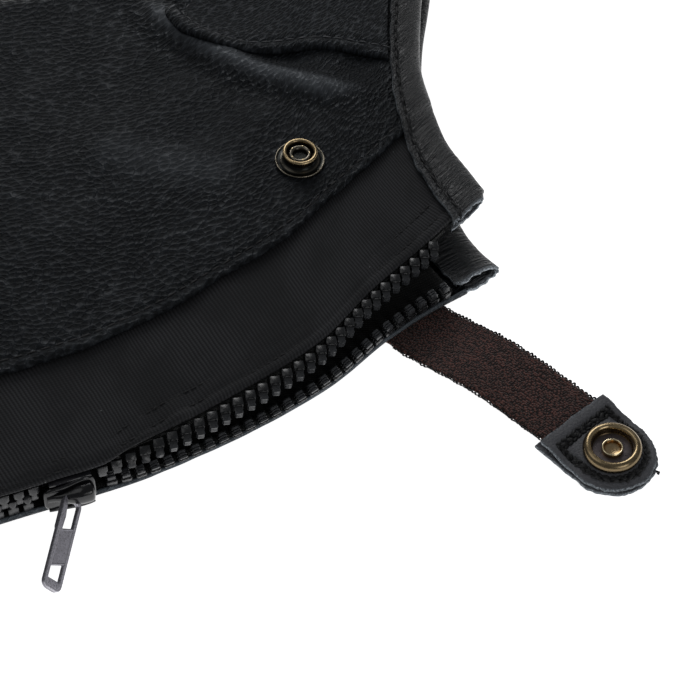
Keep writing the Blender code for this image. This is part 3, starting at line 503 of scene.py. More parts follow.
def wall(outer, inner, first=0):
    """A closed wall between two grids of points: both faces and the cut edge all round."""
    rows, columns = outer.shape[:2]
    count = rows * columns
    faces = [grid_faces(rows, columns, first), grid_faces(rows, columns, first + count)[:, ::-1]]
    rim = np.concatenate((np.arange(columns), np.arange(1, rows) * columns + columns - 1,
                          (rows - 1) * columns + np.arange(columns - 2, -1, -1),
                          np.arange(rows - 2, 0, -1) * columns)) + first
    ahead = np.roll(rim, -1)
    faces.append(np.stack((rim, ahead, ahead + count, rim + count), axis=1))
    return np.concatenate((outer.reshape(-1, 3), inner.reshape(-1, 3))), faces


def copies(points, faces, origins, axes):
    """One shape repeated: its X, Y and Z are laid along each copy's three axes from its origin."""
    count, size = len(origins), len(points)
    laid = np.asarray(origins)[:, None, :] + np.einsum("pk,nkc->npc", points, axes)
    shift = (np.arange(count) * size)[:, None, None]
    return laid.reshape(-1, 3), [(np.asarray(part)[None] + shift).reshape(-1, part.shape[1]) for part in faces]


def stack(outlines):
    """A closed shape from level outlines of the same number of points, capped by fans."""
    outlines = np.asarray(outlines, float)
    levels, around = outlines.shape[:2]
    points = np.concatenate((outlines.reshape(-1, 3), outlines[:1].mean(axis=1), outlines[-1:].mean(axis=1)))
    j = np.arange(around)
    last = (levels - 1) * around
    caps = np.concatenate((np.stack((j, (j + 1) % around, np.full(around, levels * around)), axis=1),
                           np.stack((last + (j + 1) % around, last + j, np.full(around, levels * around + 1)), axis=1)))
    return points, [grid_faces(levels, around, closed_columns=True), caps]


def joined(*shapes):
    """Several (points, faces) as one."""
    points, faces, first = [], [], 0
    for shape_points, shape_faces in shapes:
        points.append(shape_points)
        faces += [np.asarray(part) + first for part in shape_faces]
        first += len(shape_points)
    return np.concatenate(points), faces


def tube(path, radius, sides=6, closed=False, flat=1.0):
    """A thread along a path: rings of points across it, its radius a number or one per point."""
    path = np.asarray(path, float)
    ahead = np.roll(path, -1, axis=0) - np.roll(path, 1, axis=0) if closed else np.gradient(path, axis=0)
    ahead = unit(ahead)
    side = np.cross(ahead, (0.123, 0.071, 0.99))
    side = unit(side)
    up = np.cross(side, ahead)
    angle = np.linspace(0, 2 * math.pi, sides, endpoint=False)[None, :, None]
    radius = np.broadcast_to(radius, len(path))[:, None, None]
    rings = path[:, None] + radius * (np.cos(angle) * side[:, None] + flat * np.sin(angle) * up[:, None])
    if closed:
        return rings.reshape(-1, 3), [grid_faces(len(path), sides, closed_rows=True, closed_columns=True)]
    return stack(rings)


def ripple(x, y, wavelength, seed):
    """Soft unevenness of about unit size: eight sine waves of nearly one length, in directions
    and phases drawn from a fixed seed."""
    dice = np.random.default_rng(seed)
    total = 0.0
    for angle, phase, stretch in dice.uniform((0, 0, 0.7), (6.283, 6.283, 1.5), (8, 3)):
        turn = 2 * math.pi / (wavelength * stretch)
        total = total + np.sin(turn * (x * math.cos(angle) + y * math.sin(angle)) + phase)
    return total / 2.83


print("mesh helpers ready")

# %% [markdown]
# ## The leg's two layers
# A half chap on its side is two layers of cloth, joined by the shin fold: one lies on the table
# and one above it. Each layer is a surface of two numbers: x, how far down the leg, and
# "around", how far round the leg from the zip. A table gives each section's ends, heights and
# turns, and a smooth curve through each column fills in the rest. Leather, elastic and tape are
# then all laid on the same surfaces at their own depths, so they nest as sewn cloth does.

# %% The leg's sections
LEG_COLUMNS = (
    "back_x back_y front_x front_y low_x low_y rim crown fold gusset droop stand bow low_bow lift"
).split()
LEG = np.array((
    (-212, -88.0, -218, 88.0, -212, -88.3, 16.4, 21.0, 15.0, 33.0, 90, 90, 0, 0, 0),
    (-150, -101.0, -152, 91.0, -150, -101.3, 16.4, 23.5, 16.5, 35.0, 90, 90, 0, 0, 0),
    (-80, -108.0, -80, 88.0, -80, -108.3, 16.4, 23.5, 16.5, 34.0, 90, 90, 0, 0, 0),
    (-10, -108.5, -8, 79.0, -10, -108.8, 16.4, 21.5, 16.0, 31.0, 90, 90, 0, 0, 0),
    (45, -105.3, 48, 67.0, 45, -105.6, 16.4, 20.0, 15.0, 29.0, 90, 90, 0, 0, 0),
    (78, -101.4, 82, 61.0, 78, -101.7, 16.4, 18.8, 15.0, 27.5, 90, 90, 0, 0, 0),
    (95, -99.4, 101, 58.5, 95, -99.7, 16.2, 18.2, 15.0, 28.0, 84, 86, 0, 0, 0),
    (104, -98.0, 111, 58.0, 104, -98.4, 15.9, 18.0, 15.0, 29.0, 44, 66, 0, 0, 0),
    (115, -95.5, 122, 58.5, 114.5, -96.0, 15.6, 17.8, 15.0, 30.5, 14, 56, 0, 0, 0),
    (134, -88.8, 146, 61.5, 133, -91.0, 15.6, 17.6, 15.0, 33.0, 8, 54, 0, 3, 0.4),
    (153, -79.8, 167, 68.0, 154, -83.2, 15.6, 17.3, 15.0, 34.0, 8, 60, 1, 6, 1.4),
    (169, -67.2, 184, 75.0, 171, -73.2, 15.6, 17.0, 15.0, 32.0, 8, 70, 3, 9, 2.2),
    (184, -57.2, 202, 81.5, 184, -67.2, 15.6, 16.8, 15.0, 30.5, 8, 80, 7.5, 12, 2.3),
    (196, -48.6, 218, 87.0, 193.5, -63.8, 15.6, 16.6, 15.0, 30.0, 8, 86, 11, 14, 2.3),
), float)
LEG_TABLE = dict(zip(LEG_COLUMNS, LEG.T))
LEG_KNOTS = LEG_TABLE["back_x"]
KNEE, ANKLE = LEG_KNOTS[0], LEG_KNOTS[-1]
LEATHER, INNER_LEATHER, ELASTIC, TAPE, SEAM_GAP = 1.4, 1.2, 1.2, 1.0, 0.3
ELASTIC_TOP = LEATHER + SEAM_GAP
TAPE_TOP = ELASTIC_TOP + ELASTIC + SEAM_GAP
LOW_TAPE_TOP = INNER_LEATHER + SEAM_GAP
UPPER_BEND, LOWER_BEND, ROOT_STEP, LAP = 5.0, 3.0, 0.5, 7.0
HEM_FLAT, HEM_RISE, HEM_RISE_LENGTH = 3.8, 1.3, 18.0


def smooth(t):
    """0 to 1 with no slope at either end: 3 t squared minus 2 t cubed."""
    t = np.clip(t, 0.0, 1.0)
    return t * t * (3.0 - 2.0 * t)


def curve_through(knots, values, at):
    """A smooth curve through a table's values, which never swings past them: cubic pieces whose
    slope at each knot is the harmonic mean of the slopes beside it."""
    step = np.diff(knots)
    rise = np.diff(values) / step
    slopes = np.zeros(len(knots))
    slopes[0], slopes[-1] = rise[0], rise[-1]
    same = rise[:-1] * rise[1:] > 0
    pair = np.where(same, rise[:-1] + rise[1:], 1.0)
    slopes[1:-1] = np.where(same, 2.0 * rise[:-1] * rise[1:] / pair, 0.0)
    index = np.clip(np.searchsorted(knots, at) - 1, 0, len(step) - 1)
    t = (at - knots[index]) / step[index]
    inside = np.clip(t, 0.0, 1.0)
    start, end = values[index], values[index + 1]
    first, last = slopes[index] * step[index], slopes[index + 1] * step[index]
    bend = first + (3 * (end - start) - 2 * first - last) * inside
    bend += (first + last - 2 * (end - start)) * inside**2
    return start + bend * inside + (t - inside) * np.where(t > 1, last, first)


def leg(name, x):
    """One column of the table, on its smooth curve at x."""
    return curve_through(LEG_KNOTS, LEG_TABLE[name], x)


print("the leg runs from", KNEE, "to", ANKLE, "mm")

# %% [markdown]
# ### Creases, given one by one
# Where leather has been worn and then laid down, it keeps a few broad folds. They can't be
# simulated from a photograph, so each is placed: a curved line with a height and a width, round
# across and fading out at both ends. The strongest runs below the instep patch to the ankle hem.

# %% Creases
CREASES = (  # three points of a curve (x, y), the height (a trough is negative), the half width
    ((131, 53), (150.4, -3.8), (194, -7.8), 2.8, 4.2),
    ((152, 18), (168, 10), (193, 0), -0.5, 3.2),
    ((118, 54), (134, 10), (176, -12), -0.9, 5.0),
    ((104, -4), (128, -22), (156, -32), 1.5, 12.0),
    ((58, -38), (80, 0), (96, 44), -0.9, 11.0),
    ((-6, -60), (12, -8), (14, 50), -1.1, 14.0),
    ((-96, 62), (-60, 30), (-40, -20), 1.0, 15.0),
    ((-176, -50), (-150, 10), (-120, 60), -1.2, 16.0),
)


def crease_height(x, y):
    """Each crease is a quadratic curve; its height falls off with the distance to it squared.
    The distance is the one to the nearest of 22 points, less its part along the curve there."""
    x, y = np.asarray(x, float), np.asarray(y, float)
    total = np.zeros(x.shape)
    t = np.linspace(0.0, 1.0, 22)
    for start, middle, end, height, half_width in CREASES:
        curve = [(1 - t) ** 2 * a + 2 * t * (1 - t) * b + t**2 * c for a, b, c in zip(start, middle, end)]
        speed = [2 * (1 - t) * (b - a) + 2 * t * (c - b) for a, b, c in zip(start, middle, end)]
        apart = (x[..., None] - curve[0]) ** 2 + (y[..., None] - curve[1]) ** 2
        nearest = apart.argmin(axis=-1)
        ahead_x, ahead_y = speed[0][nearest], speed[1][nearest]
        along = (x - curve[0][nearest]) * ahead_x + (y - curve[1][nearest]) * ahead_y
        length = ahead_x**2 + ahead_y**2
        at = np.clip(t[nearest] + along / length, 0.0, 1.0)
        off = np.maximum(apart.min(axis=-1) - along**2 / length, 0.0)
        fade = smooth(at * 4.5) * smooth((1.0 - at) * 3.2)
        total = total + height * fade * np.exp(-off / half_width**2)
    return total


def plan_point(x, across, end, bow):
    """Where a distance across the section lies in plan, from its back end towards the shin."""
    back_x, back_y = leg(end + "_x", x), leg(end + "_y", x)
    run_x, run_y = leg("front_x", x) - back_x, leg("front_y", x) - back_y
    t = across / np.hypot(run_x, run_y)
    inside = np.clip(t, 0.0, 1.0)
    pull = 6.75 * leg(bow, x) * inside * (1.0 - inside) ** 2
    return back_x + run_x * t - pull, back_y + run_y * t


def section_width(x, end):
    """A layer's width in plan, from its back end to the shin."""
    return np.hypot(leg("front_x", x) - leg(end + "_x", x), leg("front_y", x) - leg(end + "_y", x))


def fold_radius(x):
    """How far the shin turn reaches in plan: 0.55 of its height."""
    return 0.55 * leg("fold", x)


def flat_end(x, end):
    """Where a layer's flat stops: its width less the turn's reach."""
    return section_width(x, end) - fold_radius(x)


def shin_end(x, end):
    """A layer's flat, and the quarter turn of the shin fold by its mean radius."""
    return flat_end(x, end) + math.pi / 2 * np.sqrt((fold_radius(x) ** 2 + (leg("fold", x) / 2) ** 2) / 2)


def upper_root(x):
    """Where the upper layer's bend ends: minus its radius times its angle."""
    return -UPPER_BEND * np.radians(leg("droop", x))


def lower_root(x):
    """The same for the lower layer."""
    return -LOWER_BEND * np.radians(leg("stand", x))


print("creases:", len(CREASES))

# %% [markdown]
# ### The two surfaces
# The upper surface rises from the zip over the leg, then drops round the shin fold in an
# elliptical quarter turn. Below "around" = 0 it bends down over the zip tape, steeply where the
# zip is closed and hardly at all where it is open. The lower one is flat on the table, rises a
# little at the hems, where the binding goes under it, and turns up to its own tape.

# %% Upper and lower skin
def rise_from(hem_distance):
    """The rise beside a hem, which fades out over a length."""
    return HEM_RISE * smooth(1.0 - (hem_distance - HEM_FLAT) / HEM_RISE_LENGTH)


def upper_skin(x, around):
    """Outer face of the upper layer: parabola-like crown, elliptical shin turn, bend at the zip."""
    x, around = np.broadcast_arrays(np.asarray(x, float), np.asarray(around, float))
    flat = flat_end(x, "back")
    top = np.clip(around, 0.0, flat)
    t = top / flat
    rim, crown, fold = leg("rim", x) + rise_from(x - KNEE), leg("crown", x), leg("fold", x)
    height = rim + (fold - rim) * smooth(t) + (crown - (rim + fold) / 2) * np.sin(math.pi * t) ** 2
    turn = np.clip((around - flat) / (shin_end(x, "back") - flat), 0.0, 1.0) * math.pi / 2
    across = top + fold_radius(x) * np.sin(turn)
    height = height - fold / 2 * (1.0 - np.cos(turn))
    droop = np.radians(leg("droop", x))
    bend = np.clip(-around / UPPER_BEND, 0.0, droop)
    rest = np.maximum(-around - UPPER_BEND * droop, 0.0)
    across = across - UPPER_BEND * np.sin(bend) - rest * np.cos(droop)
    height = height - UPPER_BEND * (1.0 - np.cos(bend)) - rest * np.sin(droop)
    plan_x, plan_y = plan_point(x, across, "back", "bow")
    height = height + crease_height(plan_x, plan_y) * smooth(t * 8.0) * np.cos(turn)
    return np.stack((plan_x, plan_y, height), axis=-1)


def lower_skin(x, around):
    """Outer face of the lower layer: flat, with the other half of the shin turn and its own
    bend up to the zip."""
    x, around = np.broadcast_arrays(np.asarray(x, float), np.asarray(around, float))
    flat = flat_end(x, "low")
    bottom = np.clip(around, 0.0, flat)
    corner = leg("lift", x) * (1.0 - smooth((bottom - 18.0) / 24.0))
    base = np.maximum(rise_from(np.minimum(x - KNEE, ANKLE - x)), corner)
    turn = np.clip((around - flat) / (shin_end(x, "low") - flat), 0.0, 1.0) * math.pi / 2
    across = bottom + fold_radius(x) * np.sin(turn)
    height = base + (leg("fold", x) / 2 - base) * (1.0 - np.cos(turn))
    stand = np.radians(leg("stand", x))
    bend = np.clip(-around / LOWER_BEND, 0.0, stand)
    rest = np.maximum(-around - LOWER_BEND * stand, 0.0)
    across = across - LOWER_BEND * np.sin(bend) - rest * np.cos(stand)
    height = height + LOWER_BEND * (1.0 - np.cos(bend)) + rest * np.sin(stand)
    plan_x, plan_y = plan_point(x, across, "low", "low_bow")
    return np.stack((plan_x, plan_y, height), axis=-1)


def outward(skin, x, around, reach=0.05):
    """The unit normal out of the leg, from the cross product of two small steps, and the unit
    direction down the leg."""
    down_leg = skin(x + reach, around) - skin(x - reach, around)
    normal = np.cross(down_leg, skin(x, around + reach) - skin(x, around - reach))
    normal = unit(normal)
    return (normal if skin is upper_skin else -normal), unit(down_leg)


def at_depth(skin, x, around, depth):
    """Points of a layer moved in by a depth, or out by a negative one."""
    x, around = np.broadcast_arrays(np.asarray(x, float), np.asarray(around, float))
    normal, _ = outward(skin, x, around)
    return skin(x, around) - normal * np.broadcast_to(depth, x.shape)[..., None]


def around_at(x, y):
    """How far round the upper layer a point in plan lies."""
    return (y - leg("back_y", x)) / (leg("front_y", x) - leg("back_y", x)) * section_width(x, "back")


def place_over(plan, steps=12):
    """The x and the around that lie over points in plan: a guess, moved by what it misses, a few
    times over."""
    x, around = plan[:, 0].copy(), around_at(plan[:, 0], plan[:, 1])
    for _ in range(steps):
        miss = plan - upper_skin(x, around)[:, :2]
        x, around = x + miss[:, 0], around + miss[:, 1]
    return x, around


def spaced(start, end, step):
    """Even places from start to end, at most a step apart."""
    return np.linspace(start, end, max(int(math.ceil((end - start) / step)), 1) + 1)


middle = at_depth(upper_skin, np.array([130.0]), np.array([60.0]), 0.0)[0]
print("a point on top of the ankle:", middle.round(1))

# %% [markdown]
# ## The leather over the leg
# One panel of leather runs from the elastic, over the leg and round the shin fold. Beside the
# elastic its edge is turned under, so it is a rounded bead 2 mm wide with a stitched groove
# inside it. It could be a flat strip with a bump map, but the bead catches the light along its
# whole length in the photograph, so it is real shape: a row of points every half millimetre
# there, and wider ones on the flat, with low uneven swells everywhere.

# %% Leather over the leg
def bump_at(value, centre, width):
    """A round hump of unit height: e to the minus of the offset squared."""
    return np.exp(-(((value - centre) / width) ** 2))


def rounded_rim(distance, radius):
    """How far a face drops towards a cut or folded edge: a quarter circle of that radius."""
    inside = np.clip(radius - distance, 0.0, radius)
    return radius - np.sqrt(radius**2 - inside**2)


def cloth_marks(first, second, **marks):
    """The marks of a wall whose two faces have the same places on the cloth."""
    cloth = np.stack((first, second, 0.0 * first), axis=-1).reshape(-1, 3)
    found = {"cloth": np.concatenate((cloth, cloth))}
    for key, values in marks.items():
        found[key] = np.tile(np.broadcast_to(values, first.shape).ravel(), 2)
    return found


x = np.concatenate((spaced(KNEE, 60.0, 3.4)[:-1], spaced(60.0, ANKLE, 1.5)))[:, None]
edge_steps = np.array([0.0, 0.12, 0.35, 0.7, 1.05, 1.4, 1.8, 2.2, 2.6, 3.0, 3.4, 3.8, 4.3, 5.0, 6.0])
share = np.linspace(0.0, 1.0, 96)[1:]
gusset = leg("gusset", x)
flat = flat_end(x, "back")
over = np.concatenate((gusset + edge_steps, gusset + 6.0 + (flat - gusset - 6.0) * share), axis=1)
x_over = np.broadcast_to(x, over.shape)
from_edge = over - gusset
edge_noise = 1.0 + 0.35 * ripple(x_over, 0 * x_over, 14.0, 3)
proud = 0.55 * edge_noise * bump_at(from_edge, 1.5, 1.1) - 0.34 * bump_at(from_edge, 3.5, 0.6)
proud = proud + smooth((from_edge - 6.0) / 12.0) * (
    0.22 * ripple(x_over, over, 30.0, 5) + 0.10 * ripple(x_over, over, 9.0, 6))
dip = rounded_rim(from_edge, 0.7)
wander = 0.35 * ripple(x, 0 * x, 17.0, 8) + 0.12 * ripple(x, 0 * x, 5.0, 9)
at_edge = over + wander * (1.0 - smooth(from_edge / 6.0))
turn = np.linspace(0.0, 1.0, 11)[None, 1:]
rows_over = [at_depth(upper_skin, x_over, at_edge, dip - proud)]
under = [at_depth(upper_skin, x_over, at_edge, LEATHER - np.minimum(dip, 0.65) - 0.6 * np.maximum(proud, 0.0))]
for skin, end, steps in ((upper_skin, "back", turn), (lower_skin, "low", turn[:, ::-1])):
    steps = steps if skin is upper_skin else np.concatenate((steps[:, 1:], [[0.0]]), axis=1)
    start = flat_end(x, end) + (SEAM_GAP / 2 if skin is lower_skin else 0.0)
    round_fold = start + (shin_end(x, end) - start) * steps
    x_fold = np.broadcast_to(x, round_fold.shape)
    swell = 0.12 * ripple(x_fold, round_fold, 22.0, 7) * (skin is upper_skin)
    rows_over.append(at_depth(skin, x_fold, round_fold, -swell))
    under.append(at_depth(skin, x_fold, round_fold, LEATHER - swell))
outer, inner = np.concatenate(rows_over, axis=1), np.concatenate(under, axis=1)
steps_round = np.arange(outer.shape[1] - over.shape[1]) * 1.2 + 1.2
cloth_y = np.concatenate((over, over[:, -1:] + steps_round), axis=1)
from_edge = np.concatenate((from_edge, np.full((len(x), len(steps_round)), 99.0)), axis=1)
points, faces = wall(outer, inner)
# the wear mark paints the edge bead paler: partly scuffing, partly a painted highlight along the bead; the crest mark
# gives the painted sheen on the fold crests
leg_leather = piece("leg_leather", points, faces, main_leather, instead_of=("outer_panel", "shin_panel"),
                    marks=cloth_marks(np.broadcast_to(x, cloth_y.shape), cloth_y,
                                      wear=0.75 * bump_at(from_edge, 1.2, 1.1),
                                      shine=smooth(crease_height(outer[..., 0], outer[..., 1]) / 1.9 - 0.38)))


# %% [markdown]
# ## The leather that rests
# The lower layer is one plain leather panel, from the shin fold's seam back to the zip, where it
# turns up to the lower tape. Its lip there is cut, not bound. It shows in the photograph as a
# thin grey-green line under the lower teeth, so its rim is rough and marked raw, and painted paler
# by the raw and wear marks: partly the cut edge, partly a painted highlight along the lip.

# %% Leather that rests
rise = lower_root(x)
end = flat_end(x, "low") - SEAM_GAP / 2
near = np.linspace(0.0, 1.0, 9)[None, :]
across = np.concatenate((rise + (2.0 - rise) * near, 2.0 + (end - 2.0) * np.linspace(0.0, 1.0, 62)[None, 1:]), axis=1)
x_low = np.broadcast_to(x, across.shape)
lip = 0.35 * ripple(x, 0 * x, 6.0, 12) * (1.0 - smooth((across - rise) / 4.0))
outer = at_depth(lower_skin, x_low, across + lip * 0.6, rounded_rim(across - rise, 0.4))
inner = at_depth(lower_skin, x_low, across + lip * 0.6, INNER_LEATHER - rounded_rim(across - rise, 0.4))
outer[..., 2] = np.maximum(outer[..., 2], 0.0)
points, faces = wall(outer, inner)
from_lip = across - rise
# the raw and wear marks paint the lip paler: partly the cut edge, partly a painted highlight along it
resting_leather = piece("resting_leather", points, faces, main_leather, instead_of=("inner_panel",),
                        marks=cloth_marks(x_low, across, raw=0.55 * bump_at(from_lip, 0.0, 0.8),
                                          wear=0.9 * bump_at(from_lip, 0.8, 1.4)))

# %% [markdown]
# ## The instep patch
# A second piece of leather is sewn over the instep, to take the wear of the stirrup. Its edge
# curves out of the shin, runs down beside the strong crease and ends under the ankle binding. It
# is turned under like the panel's edge, so it stands up as a round bead with a dark line under
# it, and a row of stitches follows 3 mm inside. The edge is a curve through points seen from
# above, carried to the leg's own two numbers, and every row of the grid starts on it and runs
# to the shin.

# %% Instep patch
PATCH_EDGE = np.array(((142.6, 37.9), (140.7, 36.8), (138.6, 34.1), (139.6, 29.7), (141.0, 26.4), (144.7, 22.2),
                       (149.2, 18.5), (154.8, 16.0), (160.5, 14.4), (169.2, 13.0), (177.6, 11.2), (184.7, 7.6)))
PATCH_TO_SHIN = np.array(((143.5, 147.0), (138.5, 140.5), (135.0, 133.0)))
PATCH_AT_HEM = (192.6, 55.5)
PATCH_LIFT, PATCH_LEATHER = 0.18, 1.1


def through_points(points, count):
    """A smooth curve through points, evenly spaced along it: both coordinates as functions of
    the length of the line through the points."""
    run = np.concatenate(([0.0], np.cumsum(np.hypot(*np.diff(points, axis=0).T))))
    dense = np.linspace(0.0, run[-1], 600)
    curve = np.stack([curve_through(run, points[:, k], dense) for k in (0, 1)], axis=1)
    length = np.concatenate(([0.0], np.cumsum(np.hypot(*np.diff(curve, axis=0).T))))
    at = np.linspace(0.0, length[-1], count)
    return np.stack([np.interp(at, length, curve[:, k]) for k in (0, 1)], axis=1), at


seen_edge = np.stack(place_over(PATCH_EDGE), axis=1)
print("the patch's edge near the hem:", seen_edge[-1].round(1))
patch_edge, _ = through_points(np.concatenate((PATCH_TO_SHIN, seen_edge, [PATCH_AT_HEM])), 170)
shin_x = np.linspace(patch_edge[0, 0] + 0.5, patch_edge[-1, 0], len(patch_edge))[:, None]
shin_around = shin_end(shin_x, "back") - SEAM_GAP
x_start, start = patch_edge[:, :1], patch_edge[:, 1:]
span = shin_around - start
steps = np.concatenate((edge_steps, 6.0 + (span.max() - 6.0) * np.linspace(0.0, 1.0, 62)[1:]))
inside = edge_steps[-1] + (span - edge_steps[-1]) * ((steps - edge_steps[-1]) / (steps[-1] - edge_steps[-1]))
inside = np.where(steps <= edge_steps[-1], steps, inside)
around = start + inside
x_grid = x_start + (shin_x - x_start) * inside / span
to_edge = np.sqrt((x_grid[..., None] - patch_edge[:, 0]) ** 2
                  + (around[..., None] - patch_edge[:, 1]) ** 2).min(axis=-1)
hem = smooth((192.8 - x_grid) / 3.0)
proud = (0.62 * bump_at(to_edge, 1.3, 1.0) - 0.45 * bump_at(to_edge, 3.0, 0.55)) * (
    1.0 + 0.2 * ripple(x_grid, around, 12.0, 14))
proud = proud + smooth((to_edge - 4.0) / 8.0) * (
    0.20 * ripple(x_grid, around, 24.0, 15) + 0.05 * ripple(x_grid, around, 8.0, 16))
proud = proud * (0.35 + 0.65 * hem)
dip = rounded_rim(to_edge, 0.9)
outer = at_depth(upper_skin, x_grid, around, dip - proud - PATCH_LIFT - PATCH_LEATHER)
inner = at_depth(upper_skin, x_grid, around, np.full(around.shape, -PATCH_LIFT))
points, faces = wall(outer, inner)
patch = piece("instep_leather", points, faces, patch_leather, instead_of=("instep_patch",),
              marks=cloth_marks(x_grid, around, wear=0.55 * bump_at(to_edge, 1.2, 1.0)))

# %% [markdown]
# ## The elastic
# The strip of elastic lies under the leather's edge and over the zip's tape, and is folded back
# on itself beside the teeth. It pulls in where the zip is closed and puckers a little where the
# zip opens. Its fold is a rounded edge, and its ribs are in the finish, which reads how far
# along the zip and how far across it each point lies.

# %% Elastic
x_fine = np.concatenate((spaced(KNEE, 60.0, 3.4)[:-1], spaced(60.0, ANKLE, 1.2)))[:, None]
root = upper_root(x_fine)
gusset = leg("gusset", x_fine)
steps = np.concatenate((np.array([0.0, 0.1, 0.3, 0.6, 1.0, 1.5, 2.0, 2.6, 3.2, 4.0, 5.0]), np.linspace(6.0, 40.0, 36)))
across = root + 1.0 + steps * (gusset + LAP - root - 1.0) / 40.0
x_grid = np.broadcast_to(x_fine, across.shape)
from_fold = across - root - 1.0
pucker = smooth((x_grid - 88.0) / 10.0) * smooth((150.0 - x_grid) / 30.0)
proud = 0.30 * bump_at(from_fold, 1.2, 1.2) - 0.22 * bump_at(from_fold, 3.0, 0.5) - 0.16 * bump_at(from_fold, 7.4, 0.5)
proud = proud + (0.10 + 0.22 * pucker) * ripple(x_grid, across * 0.25, 7.0, 21) * bump_at(from_fold, 4.0, 5.0)
proud = proud + 0.14 * ripple(x_grid, across, 28.0, 22)
proud = np.minimum(proud, 0.9) * smooth((gusset + LAP - across) / 5.0)
proud = np.where(across > gusset - 2.0, np.minimum(proud, 0.12), proud)
dip = rounded_rim(from_fold, 0.6)
outer = at_depth(upper_skin, x_grid, across, ELASTIC_TOP + dip - proud)
inner = at_depth(upper_skin, x_grid, across, ELASTIC_TOP + ELASTIC - np.minimum(dip, 0.5))
edge_line = upper_skin(x_fine, root + 1.0)
run = np.concatenate(([[0.0]], np.cumsum(np.linalg.norm(np.diff(edge_line, axis=0), axis=-1), axis=0)))
points, faces = wall(outer, inner)
elastic = piece("elastic_gusset", points, faces, elastic_cloth, instead_of=("elastic_panel",),
                marks=cloth_marks(run + 0.0 * across, across))

# %% [markdown]
# ## The zip's tapes
# Each row of teeth grips the corded edge of a woven tape. The upper tape is under the elastic
# and shows only as a narrow lip. The lower one shows in the dark slot between the open rows.

# %% Zip tapes
PITCH = 3.55  # from one tooth to the next


def zip_tape(name, skin, root_of, top, instead):
    """A tape 11 mm wide at a layer's own depth, with a thicker cord along the teeth."""
    root = root_of(x_inner)
    steps = np.array([0.0, 0.15, 0.4, 0.8, 1.2, 1.7, 2.3, 3.2, 4.5, 6.0, 8.0, 10.0])
    across = root + steps / 10.0 * (10.0 - root)
    x_grid = np.broadcast_to(x_inner, across.shape)
    cord = 0.26 * bump_at(across - root, 0.9, 0.6) - rounded_rim(across - root, 0.4)
    cord = cord * (1.0 + 0.2 * np.sin(x_grid * 2 * math.pi / PITCH))
    outer = at_depth(skin, x_grid, across, top - cord)
    inner = at_depth(skin, x_grid, across, top + TAPE + cord)
    points, faces = wall(outer, inner)
    made = piece(name, points, faces, tape_cloth, instead_of=(instead,),
                 marks=cloth_marks(x_grid, across))
    return made


x_inner = x_fine[(x_fine[:, 0] > KNEE + 3.0) & (x_fine[:, 0] < ANKLE - 3.6)]
zip_tape("zip_tape_top", upper_skin, upper_root, TAPE_TOP, "zip_tape_upper")
zip_tape("zip_tape_low", lower_skin, lower_root, LOW_TAPE_TOP, "zip_tape_lower")

# %% [markdown]
# ## The zip's teeth
# A coarse moulded zip: each tooth grips the tape with a broad root, narrows to a neck and ends
# in a lower, round head that locks between two heads of the other row. The pitch is 3.55 mm. One
# tooth is drawn as an outline and stacked in levels, with bevelled faces and, on the open teeth,
# two grooves round the head, which show as bright lines where the photograph looks at their ends.
# It is then copied along the line of the tape by arithmetic. The closed rows are never seen
# close up, so their tooth has few faces.

# %% Teeth
CHAIN_WIDTH, SLIDER_X, SLIDER_LENGTH = 7.6, 88.0, 12.6
CHAIN_START_X, CHAIN_END_X = -198.0, 189.5


def zip_frame(skin, x):
    """The root of the teeth, the way they point and the way out of the chain's face."""
    root_of, middle = (upper_root, TAPE_TOP) if skin is upper_skin else (lower_root, LOW_TAPE_TOP)
    around = root_of(x) - ROOT_STEP
    root = at_depth(skin, x, around, np.full(x.shape, middle + TAPE / 2))
    normal, _ = outward(skin, x, around - 1.0)
    point = skin(x, around - 2.0) - skin(x, around - 1.0)
    return root, unit(point), normal


def tooth(levels, profile, root=2.3):
    """A tooth as a stack: profile rows are (reach, half width), and levels are (height, inset,
    whether the head is as high as that). Above the head, only the root goes on."""
    profile = np.array(profile)
    outlines = []
    for height, inset, with_head in levels:
        half = np.maximum(profile[:, 1] - inset, 0.2)
        reach = profile[:, 0] - inset * (profile[:, 0] > 3.5) + inset * (profile[:, 0] < 0.1)
        if not with_head:
            reach = np.minimum(reach, root - inset)
        side = np.stack((half, reach, np.full(len(half), height)), axis=1)
        outlines.append(np.concatenate((side, side[::-1] * (-1, 1, 1))))
    return stack(outlines)


OPEN_PROFILE = ((0, 1.2), (1.9, 1.27), (2.25, 1.05), (2.4, 0.55), (2.75, 0.50), (3.0, 0.80), (3.35, 0.98), (3.75, 0.98),
                (4.1, 0.68))
half_open = ((0.16, 0, 1), (0.30, 0.20, 1), (0.44, 0, 1), (0.92, 0, 1), (1.06, 0.18, 1), (1.07, 0, 0), (1.28, 0, 0),
             (1.48, 0.24, 0))
OPEN_LEVELS = [(-z, inset, head) for z, inset, head in half_open[::-1]] + list(half_open)
CLOSED_PROFILE = ((0, 1.2), (1.9, 1.27), (2.3, 1.0), (2.45, 0.55), (3.1, 0.85), (3.8, 1.0), (4.5, 0.75))
CLOSED_LEVELS = ((-1.5, 0.24, 1), (-1.3, 0, 1), (1.3, 0, 1), (1.5, 0.24, 1))


